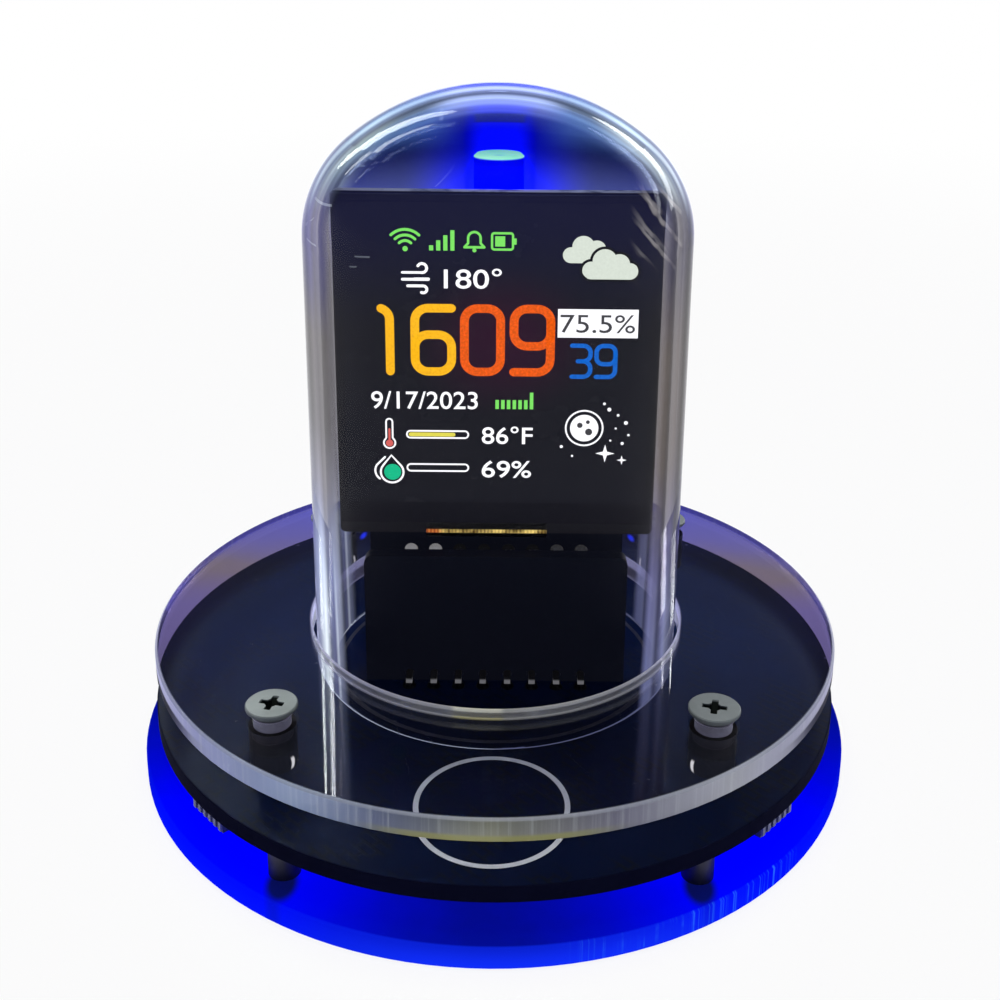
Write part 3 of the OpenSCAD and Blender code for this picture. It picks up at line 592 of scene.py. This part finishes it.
def makeFootPin(s):
    finish = Finish("footPinFinish", shine=0.1, glowPower=0.35)
    depth, height = finish.place("Depth", "Height")
    # painted light and shade: only the bends stand in the light
    bend = depth.below(*s["front"]) * height.above(*s["bend"][:2]) * height.below(*s["bend"][2:])
    mottle = finish.group(softMottle, Color=(1.0, 1.0, 1.0), Depth=0.4, Scale=1200.0)
    paintedLight = bend.blend(s["inShade"], s["lit"]).shade(mottle["Color"])
    finish.set(colour=paintedLight, glow=paintedLight, rough=mottle["Mask"] * 0.3 + 0.3)
    finish.bump(mottle["Mask"], 0.1, 0.00004)
    return finish.material


sleeve = {"colour": (0.012, 0.008, 0.008), "glintX": 1.95, "glintZ": 7.85, "glint": (0.75, 0.72, 0.72)}


def makeSleeve(s):
    finish = Finish("sleeveFinish", shine=0.08, glowPower=1.0)
    side, height = finish.place("Side", "Height")
    grain = finish.cloud(s["colour"], 0.3, 0.3)
    # a painted curved glint near the foot, on the side that faces the dome
    rise = height - s["glintZ"]
    bow = abs(side) - screwAt + (rise * rise * -0.22 + s["glintX"])
    glint = abs(rise).below(0.35, 0.75) * abs(bow).below(0.06, 0.14)
    finish.set(glow=glint.blend(black, s["glint"]))
    finish.bump(grain, 0.1, 0.00005)
    return finish.material


finishes = {
    "dome_glass": makeDomeGlass(domeGlass),
    "clear_acrylic": makeTopAcrylic(topAcrylic),
    "lit_acrylic": makeLitAcrylic(litAcrylic),
    "board_black": makeBoardMask(boardMask),
    "screen_film": makeScreenFilm(screenFilm),
    "lamp_blue": makeUpLamp(upLamp),
    "flex_gold": makeFlex(flex),
    "zinc_steel": makeScrew(screw),
    "tinned_metal": makeMetal("tinFinish", (0.72, 0.72, 0.70), (0.22, 0.4)),
    "shield_metal": makeMetal("shieldFinish", (0.66, 0.66, 0.67), (0.25, 0.38), stretch=(1, 1, 12)),
    "socket_metal": makeMetal("socketFinish", (0.70, 0.70, 0.72), (0.2, 0.32), stretch=(12, 1, 1)),
    "dark_nylon": plainFinish("nylonFinish", (0.012, 0.014, 0.035), rough=(0.35, 0.55)),
    "brown_nylon": makeSleeve(sleeve),
    "lamp_body": plainFinish("lampBodyFinish", (0.05, 0.06, 0.14), depth=0.25, rough=(0.35, 0.5)),
    "tray_plastic": makeTray(tray),
    "lcd_black": makePanelGlass(panelGlass),
    "module_board": plainFinish("moduleBoardFinish", (0.012, 0.014, 0.02), rough=(0.3, 0.45)),
    "chip_plastic": plainFinish("chipFinish", (0.020, 0.020, 0.022), scale=900.0, rough=(0.5, 0.7),
                                grain=0.2),
    "capacitor_ceramic": plainFinish("ceramicFinish", (0.36, 0.26, 0.15), rough=(0.35, 0.5)),
    "resistor_black": plainFinish("resistorFinish", (0.03, 0.03, 0.034), rough=(0.3, 0.45)),
}
# pins and joints that stand in shade, painted dark, with painted light where light falls on them
nodeFinishes = {
    "riser_pins": makeFootPin(footPin),
    "display_joints": makeJoint(joint),
    "riser_joints": plainFinish("shadedSolderFinish", (0.012, 0.012, 0.013), rough=(0.4, 0.6), shine=0.1),
    "led_leads": makeMetal("leadFinish", (0.22, 0.24, 0.30), (0.35, 0.5), metal=0.6),
}
for name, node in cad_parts.items():
    slots = node.data.materials
    finish = nodeFinishes.get(name) or finishes[slots[0].name]
    for index in range(len(slots)):
        slots[index] = finish
print("finishes on", len(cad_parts), "nodes")


# thin solids

def finishPiece(bm, name, material):
    bmesh.ops.remove_doubles(bm, verts=bm.verts[:], dist=1e-8)
    bmesh.ops.recalc_face_normals(bm, faces=bm.faces[:])
    mesh = bpy.data.meshes.new(name)
    bm.to_mesh(mesh)
    bm.free()
    mesh.materials.append(material)
    piece = bpy.data.objects.new(name, mesh)
    bpy.context.scene.collection.objects.link(piece)
    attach(piece, "base")


def arc(x, z, radius, start, end, steps=8):
    angles = [math.radians(start + (end - start) * i / steps) for i in range(steps + 1)]
    return [(x + radius * math.cos(a), z + radius * math.sin(a)) for a in angles]


def circle(x, z, radius, steps):
    return arc(x, z, radius, 0, 360, steps)[:-1]


def roundLoop(x0, z0, x1, z1, r, steps=8):
    return (arc(x1 - r, z1 - r, r, 0, 90, steps) + arc(x0 + r, z1 - r, r, 90, 180, steps)
            + arc(x0 + r, z0 + r, r, 180, 270, steps) + arc(x1 - r, z0 + r, r, 270, 360, steps))


# words are text, left, foot, height, weight and width, and stars are across, up and radius
screen = {
    "front": -2.425, "thick": 0.02, "layer": 0.02, "capAngles": (25, 50, 70, 84), "bigWidth": 0.86,
    "bigRow": (40.3, 47.65), "smallWidth": 0.44, "smallRow": (40.1, 43.75), "signLine": 0.28,
    "fineLine": 0.17, "dropLine": 0.2, "fanLine": 0.27, "bellLine": 0.24, "batteryLine": 0.22, "fillLine": 0.42,
    "whiteWords": (("9/17/2023", -12.5, 36.78, 1.85, 0.006, 10.6), ("86°F", -1.5, 33.1, 1.9, 0.008, 5.1),
                   ("69%", -1.5, 29.45, 1.85, 0.008, 5.0), ("180°", -5.2, 49.2, 2.0, 0.006, 5.6)),
    "share": ("75.5%", 6.15, 44.85, 1.85, 0.0, 7.3), "shareBox": (5.9, 44.35, 13.75, 47.25),
    "gauges": (34.08, 30.5), "gaugeSpan": (-9.0, -2.85), "gaugeHalf": 0.37, "fanAt": (-8.9, 53.1),
    "moonAt": (8.75, 34.9), "moonRadius": 1.42, "moonRing": 1.85,
    "stars": ((11.2, 36.9, 0.2), (12.1, 36.3, 0.14), (12.9, 35.5, 0.2), (13.2, 34.2, 0.13),
              (11.9, 34.9, 0.11), (12.6, 33.3, 0.16), (11.4, 33.6, 0.11), (10.7, 37.5, 0.14),
              (6.5, 32.9, 0.16), (7.6, 31.9, 0.12)),
    "pointedStars": ((10.9, 32.2, 0.95), (12.6, 31.5, 0.5))}


class Drawing:
    # collects thin solids on the screen: across = x, up = z
    def __init__(self, lift=0.0):
        self.bm = bmesh.new()
        front = screen["front"] - lift
        self.front, self.back = front * mm, (front + screen["thick"]) * mm

    def corners(self, points):
        return [[self.bm.verts.new((x * mm, y, z * mm)) for x, z in points] for y in (self.front, self.back)]

    def plate(self, outline):
        front, back = self.corners(outline)
        self.bm.faces.new(front)
        self.bm.faces.new(back[::-1])
        count = len(outline)
        for i in range(count):
            j = (i + 1) % count
            self.bm.faces.new((front[i], back[i], back[j], front[j]))

    def box(self, x0, z0, x1, z1):
        self.plate([(x0, z0), (x1, z0), (x1, z1), (x0, z1)])

    def band(self, left, right, closed):
        rows = self.corners(left) + self.corners(right)
        count = len(left)
        for i in range(count if closed else count - 1):
            j = (i + 1) % count
            self.bm.faces.new((rows[0][i], rows[0][j], rows[2][j], rows[2][i]))
            self.bm.faces.new((rows[1][i], rows[3][i], rows[3][j], rows[1][j]))
            self.bm.faces.new((rows[0][i], rows[1][i], rows[1][j], rows[0][j]))
            self.bm.faces.new((rows[2][i], rows[2][j], rows[3][j], rows[3][i]))
        for i in () if closed else (0, count - 1):
            self.bm.faces.new((rows[0][i], rows[2][i], rows[3][i], rows[1][i]))

    def stroke(self, path, width, closed=False):
        half, count = width / 2, len(path)
        left, right = [], []
        for i, (x, z) in enumerate(path):
            before = path[i - 1] if (i or closed) else path[0]
            after = path[(i + 1) % count] if (i < count - 1 or closed) else path[-1]
            dx, dz = after[0] - before[0], after[1] - before[1]
            size = math.hypot(dx, dz) or 1
            left.append((x - dz / size * half, z + dx / size * half))
            right.append((x + dz / size * half, z - dx / size * half))
        # round caps
        for end, near, sign in () if closed else ((0, 1, -1), (-1, -2, 1)):
            (x, z), (nearX, nearZ) = path[end], path[near]
            size = math.hypot(x - nearX, z - nearZ)
            dx, dz = (x - nearX) / size * half, (z - nearZ) / size * half
            for angle in screen["capAngles"]:
                along, across = math.sin(math.radians(angle)), math.cos(math.radians(angle)) * sign
                for row, way in ((left, across), (right, -across)):
                    point = (x + dx * along - dz * way, z + dz * along + dx * way)
                    row.insert(0 if end == 0 else len(row), point)
        self.band(left, right, closed)

    def disc(self, x, z, radius, steps=32):
        self.plate(circle(x, z, radius, steps))

    def words(self, text, x, z, height, weight, width):
        data = bpy.data.curves.new("figures", "FONT")
        data.body = text
        data.size = 1.0
        data.offset = weight
        data.resolution_u = 4
        holder = bpy.data.objects.new("figures", data)
        bpy.context.scene.collection.objects.link(holder)
        bpy.context.view_layer.update()
        flat = bpy.data.meshes.new_from_object(holder.evaluated_get(bpy.context.evaluated_depsgraph_get()))
        bpy.data.objects.remove(holder)
        low = [min(v.co[i] for v in flat.vertices) for i in (0, 1)]
        high = [max(v.co[i] for v in flat.vertices) for i in (0, 1)]
        wide, tall = width / (high[0] - low[0]), height / (high[1] - low[1])
        part = bmesh.new()
        part.from_mesh(flat)
        bpy.data.meshes.remove(flat)
        for v in part.verts:
            v.co = ((x + (v.co[0] - low[0]) * wide) * mm, self.front, (z + (v.co[1] - low[1]) * tall) * mm)
        made = bmesh.ops.extrude_face_region(part, geom=part.faces[:])
        for v in [g for g in made["geom"] if isinstance(g, bmesh.types.BMVert)]:
            v.co.y = self.back
        lump = bpy.data.meshes.new("lump")
        part.to_mesh(lump)
        part.free()
        self.bm.from_mesh(lump)
        bpy.data.meshes.remove(lump)

    def done(self, name, colour):
        finishPiece(self.bm, name, ink[colour])


# figures and marks on the screen

def bigSix(d, x0, z0, x1, z1, w, flipped=False):
    h = w / 2
    l, r, b, t = x0 + h, x1 - h, z0 + h, z1 - h
    c = (r - l) * 0.36
    loop = roundLoop(l, b, r, b + (t - b) * 0.585, c)
    tail = [(l, b + c), (l, t - c)] + arc(l + c, t - c, c, 180, 90) + [(r, t)]
    if flipped:
        loop, tail = [[(x0 + x1 - x, z0 + z1 - z) for x, z in path] for path in (loop, tail)]
    d.stroke(loop, w, closed=True)
    d.stroke(tail, w)


def bigZero(d, x0, z0, x1, z1, w):
    h = w / 2
    d.stroke(roundLoop(x0 + h, z0 + h, x1 - h, z1 - h, (x1 - x0 - w) * 0.36), w, closed=True)


def bigOne(d, x0, z0, x1, z1, w):
    h = w / 2
    stem, bend = x1 - h, x1 - x0 - w * 0.9
    d.stroke(arc(stem - bend, z1 - h - bend, bend, 72, 0, 7) + [(stem, z0 + h)], w)


def smallThree(d, x0, z0, x1, z1, w):
    h = w / 2
    l, r, b, t = x0 + h, x1 - h, z0 + h, z1 - h
    c = (r - l) * 0.4
    mid, notch = (b + t) / 2, l + c * 0.8
    for first, last, high, low in (((l, t), (notch, mid), t, mid), ((notch, mid), (l, b), mid, b)):
        bowl = arc(r - c, high - c, c, 90, 0) + arc(r - c, low + c, c, 0, -90)
        d.stroke([first, (r - c, high)] + bowl + [last], w)


# each colour with its power, and how uneven it is where that isn't usual
inks = {"amber": ((1.0, 0.50, 0.012), 1.7, 0.5), "red": ((1.0, 0.13, 0.008), 1.75, 0.8),
        "blue": ((0.010, 0.20, 0.90), 1.25, 0.7), "white": ((0.97, 0.97, 1.0), 1.6, 0.12),
        "green": ((0.24, 0.90, 0.15), 1.3), "cloud": ((0.80, 0.88, 0.76), 1.25, 0.2),
        "yellow": ((0.88, 0.80, 0.10), 1.3), "teal": ((0.01, 0.62, 0.30), 1.2),
        "rose": ((0.85, 0.16, 0.14), 1.2), "grey": ((0.10, 0.10, 0.11), 0.8),
        "dark": ((0.011, 0.012, 0.018), 1.0)}
ink = {name: makeInk("ink" + name.capitalize(), *row) for name, row in inks.items()}

# a cloud's round lobes: across, up, radius
lobes = ((-1.75, -0.2, 0.8), (-0.55, 0.65, 1.1), (0.75, 0.35, 0.95), (1.7, -0.25, 0.75), (-0.9, -0.45, 0.55),
         (0.0, -0.4, 0.6), (0.9, -0.45, 0.55))


def drawCloud(name, colour, lift, x, z, size, grow=0.0):
    d = Drawing(lift)
    for across, up, r in lobes:
        d.disc(x + across * size, z + up * size, r * size + grow, 28)
    ends = [across for across, up, r in lobes]
    d.box(x + min(ends) * size, z - size - grow, x + max(ends) * size, z)
    d.done(name, colour)


def drawScreen(s):
    big, small, fine = s["bigWidth"], s["smallWidth"], s["fineLine"]
    low, high = s["bigRow"]
    d = Drawing()
    bigOne(d, -12.05, low, -10.1, high, big)
    bigSix(d, -8.5, low, -4.05, high, big)
    d.done("hourFigures", "amber")
    d = Drawing()
    bigZero(d, -3.65, low, 0.75, high, big)
    bigSix(d, 1.2, low, 5.65, high, big, flipped=True)
    d.done("minuteFigures", "red")
    low, high = s["smallRow"]
    d = Drawing()
    smallThree(d, 7.15, low, 9.4, high, small)
    bigSix(d, 9.55, low, 11.85, high, small, flipped=True)
    d.done("secondFigures", "blue")

    d = Drawing()
    for row in s["whiteWords"]:
        d.words(*row)
    # wind sign
    line = s["signLine"]
    d.stroke([(-9.2, 50.75), (-7.3, 50.75)] + arc(-7.3, 51.2, 0.45, -90, 150), line)
    d.stroke([(-9.2, 50.1), (-6.7, 50.1)], line)
    d.stroke([(-8.7, 49.45), (-7.2, 49.45)] + arc(-7.2, 49.1, 0.35, 90, -120), line)
    # outlines of the two gauges
    left, right = s["gaugeSpan"]
    half = s["gaugeHalf"]
    for middle in s["gauges"]:
        d.stroke(roundLoop(left, middle - half, right, middle + half, 0.36), fine, closed=True)
    # outlines of the drops and the thermometer
    d.stroke([(-10.6, 31.8)] + arc(-10.55, 29.98, 1.15, 38, -218, 20), s["dropLine"], closed=True)
    d.stroke([(-11.25, 31.6)] + arc(-11.1, 30.15, 1.15, 150, 232, 8), s["dropLine"])
    d.stroke(arc(-10.75, 35.4, 0.32, 180, 0, 6) + [(-10.43, 33.7)] + arc(-10.75, 33.15, 0.58, 50, -230, 16)
             + [(-11.07, 33.7)], fine, closed=True)
    # moon with a ring, and stars
    d.disc(*s["moonAt"], s["moonRadius"])
    d.stroke(circle(*s["moonAt"], s["moonRing"], 40), fine, closed=True)
    for x, z, r in s["stars"]:
        d.disc(x, z, r, 12)
    for x, z, r in s["pointedStars"]:
        long, short = circle(x, z, r, 8), circle(x, z, r * 0.3, 8)
        d.plate([short[i] if i % 2 else long[i] for i in range(8)])
    d.box(*s["shareBox"])
    d.done("whiteMarks", "white")

    # figures in the white box, and spots on the moon
    d = Drawing(s["layer"])
    d.words(*s["share"])
    d.disc(8.3, 35.2, 0.28, 14)
    d.disc(9.2, 34.5, 0.36, 14)
    d.disc(9.1, 35.55, 0.2, 12)
    d.done("greyMarks", "grey")

    # fan of waves, rising bars, bell and battery
    d = Drawing()
    d.disc(*s["fanAt"], 0.26, 16)
    for r in (0.8, 1.35, 1.9):
        d.stroke(arc(*s["fanAt"], r, 135, 45, 10), s["fanLine"])
    for i in range(4):
        d.box(-6.6 + i * 0.68, 52.95, -6.2 + i * 0.68, 53.45 + i * 0.5)
    bell, line = arc(-2.25, 54.2, 0.6, 180, 0, 10), s["bellLine"]
    d.stroke([(-3.2, 53.3), (-2.85, 53.7)] + bell + [(-1.65, 53.7), (-1.3, 53.3)], line)
    d.stroke([(-3.2, 53.3), (-1.3, 53.3)], line)
    d.disc(-2.25, 53.0, 0.2, 12)
    d.stroke(roundLoop(-0.55, 53.1, 1.45, 54.7, 0.22, 4), s["batteryLine"], closed=True)
    d.box(-0.25, 53.4, 0.7, 54.4)
    d.box(1.55, 53.6, 1.8, 54.2)
    # seven ticks, the last one taller
    for i in range(7):
        d.box(-0.15 + i * 0.57, 36.85, 0.2 + i * 0.57, 38.6 if i == 6 else 37.8)
    d.done("greenMarks", "green")

    # a small cloud behind a larger one
    drawCloud("cloudBehind", "cloud", 0.0, 8.75, 52.8, 0.98)
    drawCloud("cloudShade", "dark", s["layer"], 10.9, 51.35, 1.08, 0.26)
    drawCloud("cloudAhead", "cloud", 2 * s["layer"], 10.9, 51.35, 1.08)

    # what fills the gauge, the drop and the thermometer
    d = Drawing(s["layer"])
    d.stroke([(x, s["gauges"][0]) for x in (-8.6, -4.35)], s["fillLine"])
    d.done("yellowMarks", "yellow")
    d = Drawing(s["layer"])
    d.disc(-10.5, 30.0, 0.86)
    d.done("tealMarks", "teal")
    d = Drawing()
    d.stroke([(-10.75, 34.6), (-10.75, 33.3)], s["dropLine"])
    d.disc(-10.75, 33.12, 0.37, 16)
    d.done("roseMarks", "rose")


drawScreen(screen)
print("screen drawn")


# prints and lights on the round board

def lathe(bm, profile, centre, steps):
    rows = [[bm.verts.new((x * mm, y * mm, z * mm)) for x, y in circle(*centre, r, steps)]
            for r, z in profile]
    for k, row in enumerate(rows):
        after = rows[(k + 1) % len(rows)]
        for i in range(steps):
            j = (i + 1) % steps
            bm.faces.new((row[i], row[j], after[j], after[i]))


boardPrint = {"top": 7.2, "thick": 0.025, "steps": 128, "touchAt": (0.0, -26.3), "touchRadius": 6.72,
              "touchLine": 0.48, "dialRadius": 16.85, "dialLine": 0.45}


def printCircle(s, name, centre, radius, line, paint):
    low, high = s["top"], s["top"] + s["thick"]
    inner, outer = radius - line / 2, radius + line / 2
    bm = bmesh.new()
    lathe(bm, [(inner, low), (outer, low), (outer, high), (inner, high)], centre, s["steps"])
    finishPiece(bm, name, paint)


def printBoard(s):
    # the white print glows faintly with painted light
    paint = plainFinish("boardPrintFinish", (0.62, 0.63, 0.65), depth=0.25, scale=700.0, rough=(0.5, 0.7),
                        glow=(0.55, 0.57, 0.62), glowPower=0.12)
    # the dial circle is the same print painted dark, as shade inside the dome
    printInShade = plainFinish("dialPrintFinish", (0.045, 0.045, 0.065), depth=0.4, scale=300.0, rough=(0.5, 0.7))
    printCircle(s, "touchCircle", s["touchAt"], s["touchRadius"], s["touchLine"], paint)
    printCircle(s, "dialCircle", (0.0, 0.0), s["dialRadius"], s["dialLine"], printInShade)


printBoard(boardPrint)

edgeLamps = {"radius": 33.4, "z": 4.72, "thick": 0.06, "size": 0.82, "turn": 42, "colour": (0.02, 0.06, 1.0),
             "power": 4.0, "steps": 24, "core": 0.001, "taper": 0.9}


def lightEdgeLamps(s):
    low, high, size, core = s["z"] - s["thick"], s["z"], s["size"], s["core"]
    bm = bmesh.new()
    for a in [math.radians(half + end * s["turn"]) for half in (0, 180) for end in (-1, 1)]:
        lathe(bm, [(core, low), (size, low), (size * s["taper"], high), (core, high)],
              (s["radius"] * math.cos(a), s["radius"] * math.sin(a)), s["steps"])
    finishPiece(bm, "edgeLampLights", makeInk("edgeLampLight", s["colour"], s["power"], 0.1))


lightEdgeLamps(edgeLamps)
print("board dressed")


# stage, light and camera

stage = {"size": 4.0, "white": 0.9, "floor": (0.88, 0.88, 0.89), "plainFrom": 0.08, "plainTo": 0.5}


def makeStage(s):
    h = s["size"]
    bm = bmesh.new()
    bm.faces.new([bm.verts.new(p) for p in ((-h, -h, 0), (h, -h, 0), (h, h, 0), (-h, h, 0))])
    mesh = bpy.data.meshes.new("floorSheet")
    bm.to_mesh(mesh)
    bm.free()
    floor = bpy.data.objects.new("floorSheet", mesh)
    bpy.context.scene.collection.objects.link(floor)
    material = bpy.data.materials.new("floorPaper")
    material.use_nodes = True
    tree = material.node_tree
    tree.nodes.clear()
    paper = wire(tree, "ShaderNodeBsdfDiffuse", {"Color": s["floor"]})
    white = wire(tree, "ShaderNodeEmission", {"Color": (1, 1, 1), "Strength": 1.0})
    rays = ("Is Camera Ray", "Is Glossy Ray", "Is Transmission Ray")
    camera, glossy, through = [wire(tree, "ShaderNodeLightPath", output=ray) for ray in rays]
    # farther off the sheet is plain white, near the object it keeps the shadow
    reach = wire(tree, "ShaderNodeVectorMath", {0: objectPlace(tree)}, "Value", operation="LENGTH")
    share = reach.above(s["plainFrom"], s["plainTo"]) * (1.0 - s["white"]) + s["white"]
    seen = camera.most(glossy).most(through) * share
    mixed = wire(tree, "ShaderNodeMixShader", {0: seen, 1: paper, 2: white})
    put(tree, "ShaderNodeOutputMaterial", {0: mixed})
    mesh.materials.append(material)


makeStage(stage)

# tones from straight below to straight above: pale round the object, dim overhead
sky = {"tones": [(0.0, (0.9, 0.9, 0.9)), (0.52, (0.95, 0.95, 0.96)), (0.58, (0.050, 0.062, 0.115)),
                 (1.0, (0.10, 0.11, 0.16))]}


def makeSky(s):
    world = bpy.data.worlds.new("studio")
    bpy.context.scene.world = world
    world.use_nodes = True
    tree = world.node_tree
    tree.nodes.clear()
    rise = apart(tree, wire(tree, "ShaderNodeTexCoord", output="Generated"))[2] * 0.5 + 0.5
    light = wire(tree, "ShaderNodeBackground", {"Color": rise.ramp(s["tones"]), "Strength": 1.0})
    put(tree, "ShaderNodeOutputWorld", {0: light})


makeSky(sky)

# each lamp: two ends as (turn, rise) in degrees seen from the dome, how far off, how broad
lamps = [
    {"name": "topSoftbox", "ends": ((90, 74), (270, 78)), "far": 0.62, "broad": 0.28, "power": 3.0,
     "paintedLight": (1.0, 0.99, 0.97), "mirrored": False},
    {"name": "rearLeftStrip", "ends": ((134, 17), (106, 46)), "far": 0.6, "broad": 0.06, "power": 2.6,
     "paintedLight": (0.93, 1.0, 0.96), "lights": False, "pointed": True},
    {"name": "leftLoop", "ends": ((145, 22), (118, 50)), "far": 0.6, "broad": 0.03, "power": 1.2,
     "paintedLight": (0.95, 1.0, 0.96), "lights": False, "pointed": True},
    {"name": "rearRightStrip", "ends": ((69, 28), (33, 6)), "far": 0.6, "broad": 0.06, "power": 1.7,
     "paintedLight": (0.95, 0.98, 1.0), "lights": False, "pointed": True},
]


def placeLamp(s):
    centre = Vector((0, 0, 0.062))  # in the dome's crown
    ends = []
    for turn, rise in s["ends"]:
        t, r = math.radians(turn), math.radians(rise)
        way = Vector((math.cos(t) * math.cos(r), math.sin(t) * math.cos(r), math.sin(r)))
        ends.append(centre + way * s["far"])
    middle = (ends[0] + ends[1]) / 2
    along = (ends[1] - ends[0]).normalized()
    back = (middle - centre).normalized()
    along = (along - back * along.dot(back)).normalized()
    data = bpy.data.lights.new(s["name"], "AREA")
    data.shape = "ELLIPSE" if s.get("pointed") else "RECTANGLE"
    data.size, data.size_y = (ends[1] - ends[0]).length, s["broad"]
    data.energy = s["power"]
    data.color = s["paintedLight"]
    holder = bpy.data.objects.new(s["name"], data)
    bpy.context.scene.collection.objects.link(holder)
    turn = Matrix((along, back.cross(along), back)).transposed().to_4x4()
    holder.matrix_world = Matrix.Translation(middle) @ turn
    holder.visible_glossy = s.get("mirrored", True)
    holder.visible_diffuse = s.get("lights", True)


for lamp in lamps:
    placeLamp(lamp)

view = {"at": (1.242, -124.205, 81.533), "pitch": 17.098, "roll": 0.526, "focal": 1299.58,
        "centre": (509.95, 339.54), "frame": 1000.0, "sensor": 36.0, "clip": (0.005, 30.0)}


def makeCamera(s):
    p, r = math.radians(s["pitch"]), math.radians(s["roll"])
    ahead = Vector((0, math.cos(p), -math.sin(p)))
    right, up = Vector((1, 0, 0)), Vector((0, math.sin(p), math.cos(p)))
    right, up = right * math.cos(r) + up * math.sin(r), up * math.cos(r) - right * math.sin(r)
    data = bpy.data.cameras.new("photoCamera")
    data.sensor_fit = "HORIZONTAL"
    data.sensor_width = s["sensor"]
    data.lens = s["sensor"] * s["focal"] / s["frame"]
    data.shift_x = (s["frame"] / 2 - s["centre"][0]) / s["frame"]
    data.shift_y = (s["centre"][1] - s["frame"] / 2) / s["frame"]
    data.clip_start, data.clip_end = s["clip"]
    camera = bpy.data.objects.new("photoCamera", data)
    bpy.context.scene.collection.objects.link(camera)
    turn = Matrix((right, up, -ahead)).transposed().to_4x4()
    camera.matrix_world = Matrix.Translation(Vector(s["at"]) * mm) @ turn
    bpy.context.scene.camera = camera


makeCamera(view)
bpy.context.scene.view_settings.view_transform = "Standard"
print("stage, light and camera set")
